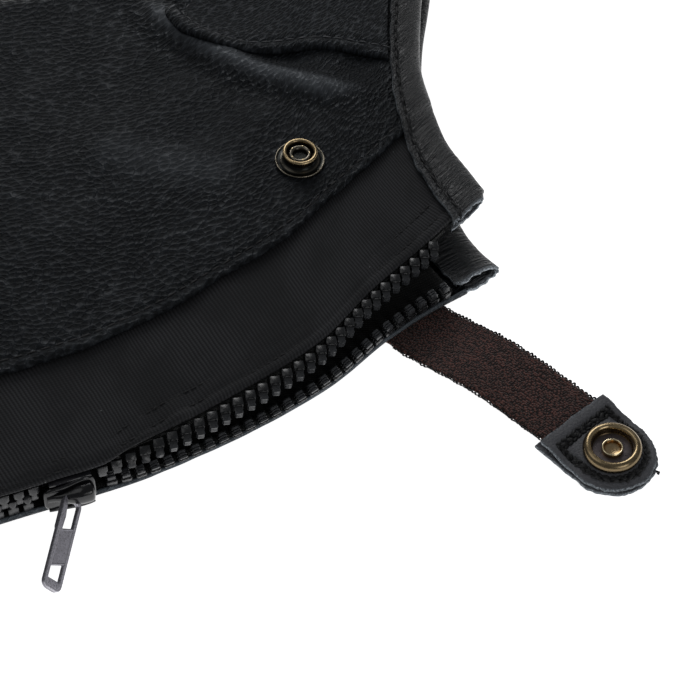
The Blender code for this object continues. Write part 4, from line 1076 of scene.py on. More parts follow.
def teeth_along(skin, start, end, shape, first, far_side=False, reach=None):
    """Teeth every PITCH mm along a row, from its own root line or from the far side's."""
    x = np.linspace(start, end, 500)
    root, point, normal = zip_frame(skin, x)
    if far_side:
        root, point = root + point * CHAIN_WIDTH, -point
    run = run_along(root)
    at = np.arange(first, run[-1], PITCH)
    pick = lambda values: np.stack([np.interp(at, run, values[:, k]) for k in range(3)], axis=1)
    root, point, normal = pick(root), pick(point), pick(normal)
    along = np.cross(point, normal)
    scale = np.ones(len(at)) if reach is None else reach(np.interp(at, run, x)) / 4.1
    points, faces = shape
    axes = np.stack((along, point * scale[:, None], normal), axis=1)
    dice = np.random.default_rng(31)
    axes = axes * dice.uniform(0.985, 1.015, (len(at), 3, 1))
    print(len(at), "teeth")
    return copies(points, faces, root, axes)


def open_reach(x):
    """The open teeth grow to their full reach as they leave the slider."""
    return 3.45 + 0.75 * smooth((x - SLIDER_X - 10.0) / 15.0)


clear = SLIDER_LENGTH / 2 + 0.9
open_tooth, closed_tooth = tooth(OPEN_LEVELS, OPEN_PROFILE), tooth(CLOSED_LEVELS, CLOSED_PROFILE)
# the heads are painted paler by the wear mark: partly rubbing, partly a painted highlight on the heads
head = smooth((open_tooth[0][:, 1] - 2.9) / 0.6) * 0.75 + 0.10
for name, skin, first, instead in (("open_teeth_top", upper_skin, 1.4, "zip_teeth_upper"),
                                   ("open_teeth_low", lower_skin, 3.0, "zip_teeth_lower")):
    points, faces = teeth_along(skin, SLIDER_X + clear, CHAIN_END_X, open_tooth, first, reach=open_reach)
    piece(name, points, faces, teeth_plastic, instead_of=(instead,), sharp=50,
          marks={"wear": np.tile(head, len(points) // len(head))})
near_row = teeth_along(upper_skin, CHAIN_START_X, SLIDER_X - clear, closed_tooth, 1.6)
far_row = teeth_along(upper_skin, CHAIN_START_X, SLIDER_X - clear, closed_tooth, 1.6 + PITCH / 2, far_side=True)
points, faces = joined(near_row, far_row)
piece("closed_teeth", points, faces, teeth_plastic, instead_of=("zip_chain",), sharp=50,
      marks={"wear": np.full(len(points), 0.25)})

# %% [markdown]
# ### The zip's box
# At the knee the two rows end in a moulded box. It is a rounded block, a little thicker than
# the teeth, with a step near its open end. The block is one outline, stacked with insets.

# %% Zip box
x_box = np.array([CHAIN_START_X - 9.3, CHAIN_START_X - 0.3])
root, point, normal = zip_frame(upper_skin, x_box)
centre = (root.mean(axis=0) + point.mean(axis=0) * CHAIN_WIDTH / 2)
box_axes = np.stack(((root[1] - root[0]) / np.linalg.norm(root[1] - root[0]), point.mean(axis=0), normal.mean(axis=0)))


def rounded_outline(half_x, half_y, radius, steps=5):
    """A rectangle with round corners: each corner a quarter circle about its own centre."""
    arc = np.radians(np.linspace(0, 90, steps))
    corners = []
    for turns, (sx, sy) in enumerate(((1, 1), (-1, 1), (-1, -1), (1, -1))):
        a = arc + turns * math.pi / 2
        corners.append(np.stack((sx * (half_x - radius) + radius * np.cos(a),
                                 sy * (half_y - radius) + radius * np.sin(a)), axis=1))
    return np.concatenate(corners)


def rounded_block(half_x, half_y, low, high, radius=0.8, bevel=0.25, steps=5):
    """A flat block with round corners and bevelled faces."""
    levels = ((low, bevel), (low + bevel, 0.0), (high - bevel, 0.0), (high, bevel))
    return stack([np.column_stack((rounded_outline(half_x - i, half_y - i, max(radius - i, 0.05), steps),
                                   np.full(4 * steps, z))) for z, i in levels])


box_shape = joined(rounded_block(4.3, 3.7, -1.85, 1.85), (rounded_block(1.2, 3.3, 1.7, 2.0, 0.5)[0] + (-2.6, 0, 0),
                                                         rounded_block(1.2, 3.3, 1.7, 2.0, 0.5)[1]))
points = centre + box_shape[0] @ box_axes
piece("zip_end_box", points, box_shape[1], teeth_plastic, instead_of=("zip_box",), sharp=50,
      marks={"wear": np.full(len(points), 0.2)})

# %% [markdown]
# ## The slider
# Two enamelled plates with turned-in flanges hold the rows of teeth, a wedge between them parts
# the rows, and a covered bridge carries the pull. In the photograph the cover is low and narrow
# at the knee end and rises to a broad crown at the ankle end, and a round lip runs below it. The
# plates are stacks of one outline, which is waisted like the real casting. The cover is a half
# barrel whose width and height are functions of the way along it.

# %% Slider
def slider_place():
    """The slider's centre, and rows of axes: along the zip, up the chain's face, out of it."""
    x = np.array([SLIDER_X - 0.5, SLIDER_X + 0.5])
    root, point, _ = zip_frame(upper_skin, x)
    along = (root[1] - root[0]) / np.linalg.norm(root[1] - root[0])
    up = np.array((0.0, 0.0, 1.0)) - along * along[2]
    up /= np.linalg.norm(up)
    return root.mean(axis=0) + point.mean(axis=0) * CHAIN_WIDTH / 2, np.stack((along, up, np.cross(along, up)))


def plate_outline(widest, waist, half_length, inset, count=40):
    """Round ends, broad at the ankle end where the rows part, and drawn in at the middle."""
    a = np.linspace(0, 2 * math.pi, count, endpoint=False)
    x = half_length * np.sign(np.cos(a)) * np.abs(np.cos(a)) ** 0.55
    y = np.sign(np.sin(a)) * np.abs(np.sin(a)) ** 0.45
    width = waist + (widest - waist) * smooth((x / half_length + 0.35) / 1.1) + 0.35 * (x / half_length) ** 2
    return np.stack((x * (1 - inset / half_length), y * (width - inset)), axis=1)


def plate(widest, waist, levels):
    """A plate: its outline at each (height, inset), stacked."""
    return stack([np.column_stack((plate_outline(widest, waist, 6.2, inset), np.full(40, z))) for z, inset in levels])


front = plate(4.95, 3.75, ((2.28, 0.35), (2.45, 0.05), (2.8, 0.0), (3.05, 0.12), (3.25, 0.40), (3.35, 0.75)))
rear = plate(4.25, 3.7, ((-3.35, 0.6), (-3.2, 0.18), (-2.9, 0.0), (-2.5, 0.05), (-2.28, 0.35)))
flanges = []
for side, z in ((1, 1.0), (-1, 1.0), (1, -1.0), (-1, -1.0)):
    reach = 4.50 if z > 0 else 4.1
    bar = rounded_block(5.0, 0.30, 0.0, 1.75, 0.28, 0.1, 4)
    bar_points = bar[0] * (1, 1, 1 if z > 0 else -1) + (0.5, side * reach, z)
    flanges.append((bar_points, [part if z > 0 else part[:, ::-1] for part in bar[1]]))
wedge_levels = [np.column_stack((rounded_outline(1.55, 1.0, 0.9) + (4.4, 0), np.full(20, z))) for z in (-2.6, 2.6)]
lip_path = np.column_stack((np.linspace(-5.3, 5.6, 24), np.zeros(24), np.zeros(24)))
lip_path[:, 1] = -3.55 - 1.05 * smooth((lip_path[:, 0] + 5.0) / 8.0)
lip_path[:, 2] = 3.15
lip = tube(lip_path, 0.62 * (1.0 - 0.5 * np.abs(lip_path[:, 0] / 5.8) ** 6), sides=12)


def bridge_cover(count=44, sides=20):
    """A closed half barrel along the zip: its width and height are functions of the way along,
    a slow rise to a crown near the ankle end and then a steep fall. Each ring is a dome, flat
    below, that leans up the chain's face."""
    u = np.linspace(-5.5, 5.5, count)
    rise = smooth((u + 5.6) / 8.2) * np.sqrt(np.clip(1.0 - ((u - 3.0) / 2.55) ** 6 * (u > 3.0), 0.02, 1.0))
    wide = 1.15 + 1.75 * smooth((u + 4.0) / 7.0) * np.sqrt(np.clip(1.0 - ((u - 3.0) / 2.6) ** 8 * (u > 3.0), 0.05, 1.0))
    angle = np.linspace(0.0, math.pi, sides)
    across = np.sign(np.cos(angle)) * np.abs(np.cos(angle)) ** 0.8 * wide[:, None]
    high = 2.9 + (0.9 + 3.0 * rise)[:, None] * np.sin(angle) ** 0.75
    rings = np.stack((np.broadcast_to(u[:, None], across.shape), across + 0.55 + 0.22 * (high - 2.9), high), axis=-1)
    return stack(rings)


cover = bridge_cover()
points, faces = joined(front, rear, *flanges, stack(wedge_levels), lip, cover)
centre, slider_axes = slider_place()
across_y = np.abs(points[:, 1])
# the flange rims, the round lip and the crown of the cover are painted paler: partly rubbed enamel, partly a painted
# highlight along the lip and the crown
rim_wear_and_painted_highlight = 0.5 * smooth((across_y - 4.0) / 0.7) + 0.3 * smooth((points[:, 2] - 6.2) / 0.5)
piece("zip_slider_body", centre + points @ slider_axes, faces, black_enamel, instead_of=("zip_slider",),
      marks={"wear": rim_wear_and_painted_highlight}, sharp=42)

# %% [markdown]
# ## The pull
# A cast tab, looped through the bridge: two rails round a slot, a solid middle and a second
# slot near its tip. Its middle is bare, nearly flush and bevelled. The frame is a many-sided bar
# swept round a long loop, with its corners marked and painted paler: partly rubbed metal, partly a
# painted highlight on the bevels. It hangs to the floor and turns on the bridge, so it is on its
# own body.

# %% Pull
PLATE_FACE, PIVOT_ABOVE = 3.35, 1.6  # heights over the slider's middle, and over its plate
PULL_LENGTH, TIP_HEIGHT = 23.4, 3.4  # the tip's height is over the floor


def pull_place():
    """The pull's pivot and axes: down its length, across it (the hinge) and out of its face."""
    centre, (along, up, out) = slider_place()
    pivot = centre + out * (PLATE_FACE + PIVOT_ABOVE)
    lean, roll = -0.50, math.radians(42.0)
    drop = (TIP_HEIGHT - pivot[2]) / PULL_LENGTH
    length = along * lean + out * math.sqrt(1.0 - lean**2 - drop**2) + up * drop
    level = np.cross(length, along)
    level /= np.linalg.norm(level)
    across = level * math.cos(roll) - np.cross(level, length) * math.sin(roll)
    return pivot, np.stack((length, across, np.cross(length, across)))


def loop_bar(outline, half_width, half_thick, corner):
    """A closed bar round an outline in the X-Y plane, with its mark at the corners: wear and painted highlight."""
    ahead = np.roll(outline, -1, axis=0) - np.roll(outline, 1, axis=0)
    ahead = unit(ahead)
    off = np.stack((ahead[:, 1], -ahead[:, 0]), axis=1)
    w, t, c = half_width, half_thick, corner
    ring = ((w, 0, 0), (w, t - c, 1), (w - c, t, 1), (0, t, 0), (c - w, t, 1), (-w, t - c, 1), (-w, 0, 0),
            (-w, c - t, 1), (c - w, -t, 1), (0, -t, 0), (w - c, -t, 1), (w, c - t, 1))
    rings = np.stack([np.column_stack((outline + off * u, np.full(len(outline), v))) for u, v, _ in ring], axis=1)
    wear = np.tile([mark for _, _, mark in ring], len(outline))
    return (rings.reshape(-1, 3), [grid_faces(len(outline), 12, closed_rows=True, closed_columns=True)]), wear


pivot, pull_axes = pull_place()
loop, loop_wear_and_painted_highlight = loop_bar(rounded_outline(11.25, 2.33, 1.3, 7) + (11.1, 0.0), 0.45, 0.64, 0.16)


def sunk_plate(start, end, slant, half_y, half_z):
    """A plate between the rails with slanted ends and shallow bevels."""
    levels = []
    for z, inset in ((-half_z, 0.25), (-half_z + 0.2, 0.0), (half_z - 0.2, 0.0), (half_z, 0.25)):
        y = np.array((-half_y, -half_y * 0.4, half_y * 0.4, half_y))
        low = np.stack((start + inset + slant * y, y, np.full(4, z)), axis=1)
        high = np.stack((end - inset + slant * y, y, np.full(4, z)), axis=1)
        levels.append(np.concatenate((high, low[::-1])))
    return stack(levels)


middle_plate = sunk_plate(7.4, 16.5, 0.45, 1.98, 0.50)
end_bar = sunk_plate(20.3, 22.3, 0.0, 1.98, 0.60)
raised_edge = sunk_plate(7.25, 7.85, 0.45, 1.98, 0.62)
far_edge = sunk_plate(16.05, 16.65, 0.45, 1.98, 0.62)
rail = np.array(((1.6, 1.70), (4.8, 1.20), (8.2, 1.40), (8.2, 2.85), (1.0, 2.85), (-1.4, 2.50)))
middle = rail.mean(axis=0)
broad_rail = stack([np.column_stack((middle + (rail - middle) * grow, np.full(len(rail), z)))
                    for z, grow in ((-0.66, 0.90), (-0.50, 1.0), (0.52, 1.0), (0.78, 0.86))])
points, faces = joined(loop, middle_plate, end_bar, raised_edge, far_edge, broad_rail)
# the corners are painted paler: partly rubbed metal, partly a painted highlight on the bevels
wear = np.concatenate((loop_wear_and_painted_highlight, np.full(len(points) - len(loop_wear_and_painted_highlight), 0.25)))
piece("zip_pull_tab", pivot + points * (0.985, 1.0, 1.0) @ pull_axes, faces, gunmetal, body="pull_tab",
      instead_of=("zip_pull",), marks={"wear": 0.8 * wear}, sharp=35)

# %% [markdown]
# ## The hem bindings
# Each end of the leg is bound with a strip of thin leather, folded round the edge. Its margin
# lies on the leg, 3 mm wide, with a sunk line of stitches beside it, and its roll stands out
# past the end, soft and hollow. It is a profile, a U, carried along the end of each layer, with
# its own wall, so that the cut ends show a raw rim round a dark hollow, as they do in the
# photograph. The upper strip steps down where it passes from the leather to the elastic.

# %% Hem bindings
MARGIN, ROLL, BINDING_LEATHER = 3.2, 10.0, 1.0


def hem_profile():
    """Outer and inner lines of the U, as (reach past the end, share of the half height) with the
    stitched groove's mark: straight margins, then half an ellipse."""
    top = np.concatenate((np.linspace(-MARGIN, -1.1, 9), np.linspace(-0.9, 0.8, 10)))
    angle = np.linspace(90.0, -90.0, 34)[1:-1]
    arc = np.radians(angle)
    bottom = np.linspace(0.8, -MARGIN, 9)
    reach = np.concatenate((top, 0.8 + np.cos(arc) ** 0.92 * (ROLL - 0.8), bottom))
    level = np.concatenate((np.ones(len(top)), np.sign(np.sin(arc)) * np.abs(np.sin(arc)) ** 0.9,
                            -np.ones(len(bottom))))
    return reach, level


def hem_binding(name, instead, skin, place, inward, around, top, bottom, seed, belly=0.0):
    """The U carried along a hem: reach times the way down the leg, level times half its height
    along the outward normal, plus small wrinkles; its roll may be wider in the middle, by belly."""
    x = np.full(around.shape, place)
    normal, _ = outward(skin, x, around)
    at_edge = skin(x, around)
    down_leg = at_edge - skin(x + inward * HEM_FLAT, around)
    down_leg = unit(down_leg)
    run = run_along(at_edge)
    reach, level = hem_profile()
    s, u = np.meshgrid(run, np.arange(len(reach)) * 0.8, indexing="ij")
    reach, level = np.broadcast_to(reach, s.shape), np.broadcast_to(level, s.shape)
    high, low = top(around)[:, None], bottom(around)[:, None]
    middle, half = (high + low) / 2, (high - low) / 2
    on_roll = smooth((reach - 0.6) / 2.5)
    on_top = smooth(level * 4.0)
    at_cut = np.minimum(s, run[-1] - s)
    slack = 1.0 + 0.05 * on_roll * ripple(s, u * 0.5, 22.0, seed)
    outer_reach = reach * np.where(reach > 0.8, 1.0 + 0.03 * ripple(s, u * 0.2, 26.0, seed + 1), 1.0)
    outer_reach = outer_reach + 0.28 * (1.0 + ripple(s, 0 * s, 4.0, seed + 2)) * smooth((-2.6 - reach) / 0.6)
    outer_reach = outer_reach + 1.4 * belly * np.exp(-(((s - 0.72 * run[-1]) / 30.0) ** 2)) * on_roll
    wrinkle = 0.055 * ripple(s, u * 0.10, 1.7, seed + 3) * on_roll * smooth(1.2 - np.abs(level))
    wrinkle = wrinkle + 0.07 * on_roll * ripple(s, u * 0.3, 6.0, seed + 4)
    margin = on_top * (1.0 - on_roll)
    puff = margin * (0.22 * bump_at(reach, -2.0, 0.9) + 0.10 * ripple(s, reach * 2.0, 2.2, seed + 5))
    groove = -0.42 * on_top * bump_at(reach, -0.35, 0.42)
    lift = np.where(level > 0, puff + groove, 0.0) + wrinkle
    flare = (0.9 * np.exp(-s / 3.2) + 0.2 * np.exp(-(run[-1] - s) / 3.0)) * on_roll
    outer_v = middle + half * level * slack + lift * np.where(level >= 0, 1.0, -1.0) + flare * level
    wall_now = BINDING_LEATHER * (1.0 + 0.15 * ripple(s, u, 1.5, seed + 6) * np.exp(-at_cut / 0.8))
    inner_reach = np.where(reach > 0.8, 0.8 + (outer_reach - 0.8) * (1.0 - wall_now / (ROLL - 0.8)), outer_reach)
    inner_v = middle + (half - wall_now) * level * slack + flare * level
    ragged = 0.30 * ripple(u, 0 * u, 3.0, seed + 7) * np.exp(-at_cut / 0.6) * np.where(s > run[-1] / 2, 1, -1)
    along_hem = np.gradient(at_edge, axis=0)
    along_hem = unit(along_hem)
    place_at = lambda h, v: (at_edge[:, None] + down_leg[:, None] * h[..., None] + normal[:, None] * v[..., None]
                             + along_hem[:, None] * ragged[..., None])
    outer, inner = place_at(outer_reach, outer_v), place_at(inner_reach, inner_v)
    outer[..., 2], inner[..., 2] = np.maximum(outer[..., 2], 0.0), np.maximum(inner[..., 2], 0.05)
    raw = np.maximum(np.exp(-(at_cut / 0.55) ** 2), 0.5 * bump_at(reach, -MARGIN, 0.12))
    # wear on the roll's outer edge: partly rubbing, partly a painted highlight along the roll's crest
    wear = np.maximum(0.9 * margin * bump_at(reach, -2.9, 0.9), 0.35 * bump_at(reach, ROLL, 2.2))
    wear = np.maximum(wear, 0.9 * np.exp(-at_cut / 2.4))
    points, faces = wall(outer, inner)
    made = piece(name, points, faces, binding_leather, instead_of=(instead,),
                 marks=cloth_marks(s, u, raw=raw, wear=wear))
    groove_line = at_edge - down_leg * 0.35 + normal * (top(around) - 0.22)[:, None]
    return groove_line, normal


def close_at_ends(start, end, step):
    """Places along a hem: even, with three close ones at each cut end."""
    inside = spaced(start + 0.9, end - 0.9, step)
    return np.concatenate(([start, start + 0.18, start + 0.45], inside, [end - 0.45, end - 0.18, end]))


hem_seams = []
for label, place, inward, overhang, seed in (("ankle", ANKLE, -1.0, 2.0, 40), ("knee", KNEE, 1.0, -0.6, 60)):
    here = np.array([place])
    gusset_here = leg("gusset", here)[0]
    step = 0.55 if label == "ankle" else 0.9
    around = close_at_ends(upper_root(here)[0] - overhang, shin_end(here, "back")[0] - SEAM_GAP, step)
    over_leather = lambda a: 1.3 - 1.7 * (1.0 - smooth((a - gusset_here + 2.5) / 4.5))
    hem_seams.append(hem_binding(f"{label}_hem_top", f"{label}_binding_outer", upper_skin, place, inward, around,
                                 over_leather, lambda a: np.full(a.shape, -4.2), seed,
                                 float(label == "ankle")))
    around = close_at_ends(0.0, shin_end(here, "low")[0] - SEAM_GAP, 0.8)
    hem_seams.append(hem_binding(f"{label}_hem_low", f"{label}_binding_inner", lower_skin, place, inward, around,
                                 lambda a: np.full(a.shape, 1.3), lambda a: np.full(a.shape, -3.8), seed + 10))

# %% [markdown]
# ## The strap
# A strip of dark brown elastic webbing comes from under the leg and ends between the two
# leathers of its tab. It is a flat woven cloth, so it is one thin sheet along a gently arched
# line, with rounded selvedges, and the woven rows are in the finish. The loops of thread along
# both selvedges stick out in the photograph, so those are real: two wavy threads on each side.

# %% Strap
STRAP_WAY, TAB_WAY = -54.9, -62.0  # degrees from the line down the leg
STRAP_ROOT, STRAP_LENGTH, STRAP_WIDTH, STRAP_THICKNESS = np.array((178.7, -70.0)), 48.2, 17.6, 1.1
TAB_WIDTH, TAB_STRAIGHT, TAB_LEATHER = 21.0, 13.2, 1.0
TAB_BOTTOM, STRAP_LEVEL, TAB_TOP = 1.0, 2.3, 3.7


def heading(degrees):
    """The way ahead and the way to the left, at an angle in plan."""
    angle = math.radians(degrees)
    return np.array((math.cos(angle), math.sin(angle))), np.array((-math.sin(angle), math.cos(angle)))


def strap_points(along, across, height):
    """A point of the strap: along its bent centre line, across it, and above its underside."""
    (forward, side), (tab_forward, tab_side) = heading(STRAP_WAY), heading(TAB_WAY)
    turn = smooth((along / STRAP_LENGTH - 0.7) / 0.3)[..., None]
    centre = STRAP_ROOT + forward * np.minimum(along, STRAP_LENGTH)[..., None]
    centre = centre + tab_forward * np.maximum(along - STRAP_LENGTH, 0.0)[..., None]
    over = side + (tab_side - side) * turn
    over = unit(over)
    arch = 2.2 * np.sin(math.pi * np.clip(along / STRAP_LENGTH, 0, 1)) ** 2
    low = STRAP_LEVEL * smooth(along / STRAP_LENGTH) + arch
    plan = centre + over * across[..., None]
    return np.concatenate((plan, (low + height)[..., None]), axis=-1)


along = spaced(-10.0, STRAP_LENGTH + 8.0, 0.55)[:, None]
share = np.concatenate(([0, 0.008, 0.022, 0.045], np.linspace(0.08, 0.92, 26), [0.955, 0.978, 0.992, 1]))[None]
across = (share - 0.5) * STRAP_WIDTH + (
    0.16 * ripple(along, 0 * along, 2.6, 80) * np.abs(2 * share - 1) ** 8 * np.sign(share - 0.5))
along, across = np.broadcast_arrays(along, across)
to_side = STRAP_WIDTH / 2 - np.abs((share - 0.5) * STRAP_WIDTH)
dip = rounded_rim(to_side, 0.5) + 0.0 * along
weave = 0.045 * np.cos(along * 2 * math.pi / 0.62 * 0.5 + 0.6 * ripple(along, across, 5.0, 81))
weave = weave + 0.05 * ripple(along, across, 4.0, 82)
free = smooth((STRAP_LENGTH - along) / 3.0)
outer = strap_points(along, across, STRAP_THICKNESS - dip + np.maximum(weave, -0.1) * free)
inner = strap_points(along, across, dip)
points, faces = wall(outer, inner)
strap = piece("brown_strap", points, faces, strap_cloth, instead_of=("strap",),
              marks=cloth_marks(along, across))

run = spaced(1.0, STRAP_LENGTH + 1.0, 0.12)
loops = []
for side, phase in ((1, 0.0), (-1, 1.9)):
    for shift, height in ((0.0, 0.75), (1.6, 0.35)):
        swing = np.sin(run * 2 * math.pi / 1.12 + phase + shift + 0.5 * ripple(run, 0 * run, 6.0, 83 + side))
        out = STRAP_WIDTH / 2 + 0.02 + 0.24 * (1 + swing) * (0.8 + 0.35 * ripple(run, 0 * run, 3.0, 85 + side))
        path = strap_points(run, side * out, height + 0.22 * np.cos(run * 2 * math.pi / 1.12 + phase))
        path[:, 2] = np.maximum(path[:, 2], 0.16)
        loops.append(tube(path, 0.15, sides=5))
points, faces = joined(*loops)
piece("strap_selvedge", points, faces, black_thread, marks={"wear": np.full(len(points), 0.3)})

# %% [markdown]
# ## The tab
# Two D-shaped leathers, an upper and a lower, hold the strap's end and the press stud's
# socket. Their edges were cut and left raw, so grey fibre shows all round, and the lower one
# peeps out on the left. The stitches were pulled so tight that they sank a channel in the
# leather. Rings of one outline, each a little further in, carry the edge, the channel and
# the flat, each at its own height. Past the strap's end the two leathers are sewn flat together.

# %% Tab
TAB_SEAM, TAB_DROOP = 2.45, 1.25  # how far in its stitches run, and how far its end droops
TAB_BASE = STRAP_ROOT + heading(STRAP_WAY)[0] * STRAP_LENGTH
SNAP_CENTRE = TAB_BASE + heading(TAB_WAY)[0] * TAB_STRAIGHT


def tab_ring(start, grow, inset=0.0, count_straight=14, count_round=60):
    """The D's outline, moved in or out: a base line, two straight sides and half a circle. The
    base line moves in faster, because the stitches lie further in there."""
    forward, side = heading(TAB_WAY)
    half = TAB_WIDTH / 2 + grow - inset
    start = start - grow + 1.75 * inset
    straight = np.linspace(0.0, 1.0, count_straight, endpoint=False)[:, None]
    corner_a, corner_b = TAB_BASE + forward * start - side * half, TAB_BASE + forward * start + side * half
    end_a, end_b = SNAP_CENTRE - side * half, SNAP_CENTRE + side * half
    angle = np.radians(np.linspace(-90.0, 90.0, count_round, endpoint=False))[:, None]
    arc = SNAP_CENTRE + (forward * np.cos(angle) + side * np.sin(angle)) * half
    return np.concatenate((corner_a + (end_a - corner_a) * straight, arc, end_b + (corner_b - end_b) * straight,
                           corner_b + (corner_a - corner_b) * straight))


def tab_sag(ring, sag):
    """How far the tab droops past the strap's end, where nothing is between its leathers."""
    from_snap = np.linalg.norm(ring[:, :2] - SNAP_CENTRE, axis=1)
    beyond = (ring[:, :2] - TAB_BASE) @ heading(TAB_WAY)[0]
    return sag * smooth((from_snap - 7.2) / 3.0) * smooth((beyond - 2.0) / 7.0)


def tab_leather_piece(name, instead, low, thick, start, grow, sag, channel, seed):
    """A stack of rings: up the raw edge, then in over the top, and the same below."""
    insets = np.array((0.0, 0.05, 0.18, 0.45, 0.9, 1.3, 1.65, 1.95, 2.2, 2.45, 2.7, 2.95, 3.3, 3.8, 4.6, 5.6, 6.6, 7.4))
    rings, raws, wears = [], [], []
    for top in (False, True):
        order = insets[::-1] if not top else insets
        for inset in order:
            ring = tab_ring(start, grow, inset)
            frayed = 0.14 * ripple(*ring.T, 1.6, seed) + 0.10 * ripple(*ring.T, 5.0, seed + 1)
            direction = ring - ring.mean(axis=0)
            direction = unit(direction)
            ring = ring + direction * (frayed * math.exp(-inset / 0.5))[:, None]
            from_snap = np.linalg.norm(ring - SNAP_CENTRE, axis=1)
            drop = tab_sag(ring, sag)
            curl = 0.10 * ripple(*ring.T, 9.0, seed + 2) * smooth((from_snap - 7.2) / 3.0)
            edge = rounded_rim(np.full(1, inset), 0.25)[0]
            if top:
                dent = channel * bump_at(inset, TAB_SEAM, 0.62) * (1.0 + 0.35 * ripple(*ring.T, 2.4, seed + 3))
                pillow = 0.14 * bump_at(inset, 1.1, 0.7) if channel else 0.0
                height = low + thick - edge - dent * smooth((from_snap - 6.9) / 0.5) + pillow
            else:
                height = low + edge
            rings.append(np.column_stack((ring, np.maximum(height - drop + curl, 0.02))))
            raws.append(np.full(len(ring), math.exp(-((inset / 0.2) ** 2))))
            wears.append(np.full(len(ring), 0.6 * math.exp(-inset / 0.45)))
    points, faces = stack(rings)
    marks = {"raw": np.append(np.concatenate(raws), (0, 0)), "wear": np.append(np.concatenate(wears), (0, 0)),
             "cloth": points}
    made = piece(name, points, faces, tab_leather, instead_of=(instead,), marks=marks)
    return made


tab_leather_piece("tab_leather_top", "strap_tab_top", TAB_TOP, TAB_LEATHER, 0.0, 0.0, TAB_DROOP, 0.60, 90)
tab_leather_piece("tab_leather_low", "strap_tab_bottom", TAB_BOTTOM, TAB_LEATHER, -0.8, 0.4, -0.25, 0.0, 95)

# %% [markdown]
# ## The press stud
# The socket on the tab and the stud on the leg are turned from a profile: pressed brass, dark
# in its hollows and rubbed gold on its rims. Each row of a profile is a radius, a height and how
# far it is rubbed. The socket's barrel is brighter, like the photograph's, so it is its own piece.

# %% Press stud
def turned(profile, place, axes, steps=80):
    """A profile of (radius, height, wear) turned about its axis, closed at both poles."""
    profile = np.array(profile, float)
    angle = np.linspace(0, 2 * math.pi, steps, endpoint=False)
    rings = profile[1:-1]
    points = np.stack((rings[:, :1] * np.cos(angle), rings[:, :1] * np.sin(angle),
                       np.repeat(rings[:, 1:2], steps, axis=1)), axis=2)
    flat_points, faces = stack(points)
    flat_points[-2], flat_points[-1] = (0, 0, profile[0, 1]), (0, 0, profile[-1, 1])
    wear = np.append(np.repeat(rings[:, 2], steps), (profile[0, 2], profile[-1, 2]))
    return place + flat_points @ axes, faces, wear


def turned_piece(name, profile, place, axes, finish, instead):
    """A turned shape as a piece of brass."""
    points, faces, wear = turned(profile, place, axes)
    return piece(name, points, faces, finish, instead_of=instead, marks={"wear": wear}, sharp=60)


level_axes = np.eye(3)
socket_at = np.array((SNAP_CENTRE[0], SNAP_CENTRE[1], TAB_TOP + TAB_LEATHER))
turned_piece("snap_socket_ring", (
    (0, 0, 0), (6.5, 0, 0), (6.85, 0.15, 0.2), (7.0, 0.6, 0.3), (6.95, 1.2, 0.3), (6.75, 1.8, 0.35), (6.4, 2.2, 0.5),
    (5.95, 2.42, 0.7), (5.55, 2.42, 0.95), (5.25, 2.28, 1.0), (5.05, 2.0, 0.9), (4.95, 1.6, 0.45), (4.9, 1.0, 0.25),
    (4.85, 0.35, 0.1), (4.4, 0.12, 0.0), (0, 0.12, 0.0)), socket_at, level_axes, antique_brass, ("snap_socket",))
turned_piece("snap_socket_floor", (
    (0, 0.10, 0), (4.7, 0.10, 0.0), (4.75, 0.20, 0.1), (4.4, 0.26, 0.25), (3.4, 0.28, 0.15), (2.7, 0.26, 0.05),
    (2.5, 0.24, 0), (0, 0.24, 0)), socket_at, level_axes, dark_brass, ("snap_socket",))
turned_piece("snap_socket_barrel", (
    (0, 0.22, 0), (2.6, 0.22, 0.1), (2.55, 0.9, 0.3), (2.52, 1.22, 0.9), (2.40, 1.36, 1.0), (2.24, 1.36, 1.0),
    (2.12, 1.26, 0.8), (2.02, 0.90, 0.15), (1.88, 0.40, 0.05), (1.3, 0.28, 0.35), (0, 0.26, 0.25)),
    socket_at, level_axes, bright_brass, ("snap_socket",))
turned_piece("snap_cap_dome", (
    (0, 0.0, 0.6), (3.5, 0.0, 0.5), (5.2, 0.08, 0.5), (6.3, 0.35, 0.6), (6.6, 0.62, 0.3), (6.55, 0.7, 0.0),
    (0, 0.7, 0.0)), socket_at * (1, 1, 0), level_axes, antique_brass, ("snap_cap",))

STUD_PLAN = (160.86, -24.96)  # where its solid stands
stud_x, stud_around = place_over(np.array((STUD_PLAN,)))
stud_normal, stud_along = outward(upper_skin, stud_x, stud_around)
stud_axes = np.stack((stud_along[0], np.cross(stud_normal[0], stud_along[0]), stud_normal[0]))
stud_at = upper_skin(stud_x, stud_around)[0] + stud_normal[0] * 0.22
turned_piece("snap_stud_flange", (
    (0, 0, 0), (6.05, 0, 0.3), (6.2, 0.16, 0.9), (6.18, 0.36, 1.0), (6.05, 0.44, 1.0), (5.9, 0.36, 0.25),
    (5.6, 0.28, 0.0), (5.0, 0.34, 0.0), (4.8, 0.46, 0.35), (4.5, 0.46, 0.1), (4.1, 0.8, 0.0), (3.9, 1.2, 0.0),
    (0, 1.2, 0)), stud_at, stud_axes, black_brass, ("snap_stud",))
turned_piece("snap_stud_post", (
    (0, 1.1, 0), (3.85, 1.1, 0.0), (3.75, 1.7, 0.05), (3.85, 2.1, 0.1), (4.2, 2.5, 0.4), (4.42, 2.85, 0.7),
    (4.38, 3.15, 1.0), (4.15, 3.35, 1.0), (3.85, 3.40, 0.9), (3.55, 3.28, 0.7), (3.4, 3.0, 0.2), (3.3, 2.3, 0.0),
    (3.1, 1.5, 0.0), (0, 1.5, 0.0)), stud_at, stud_axes, antique_brass, ("snap_stud",))
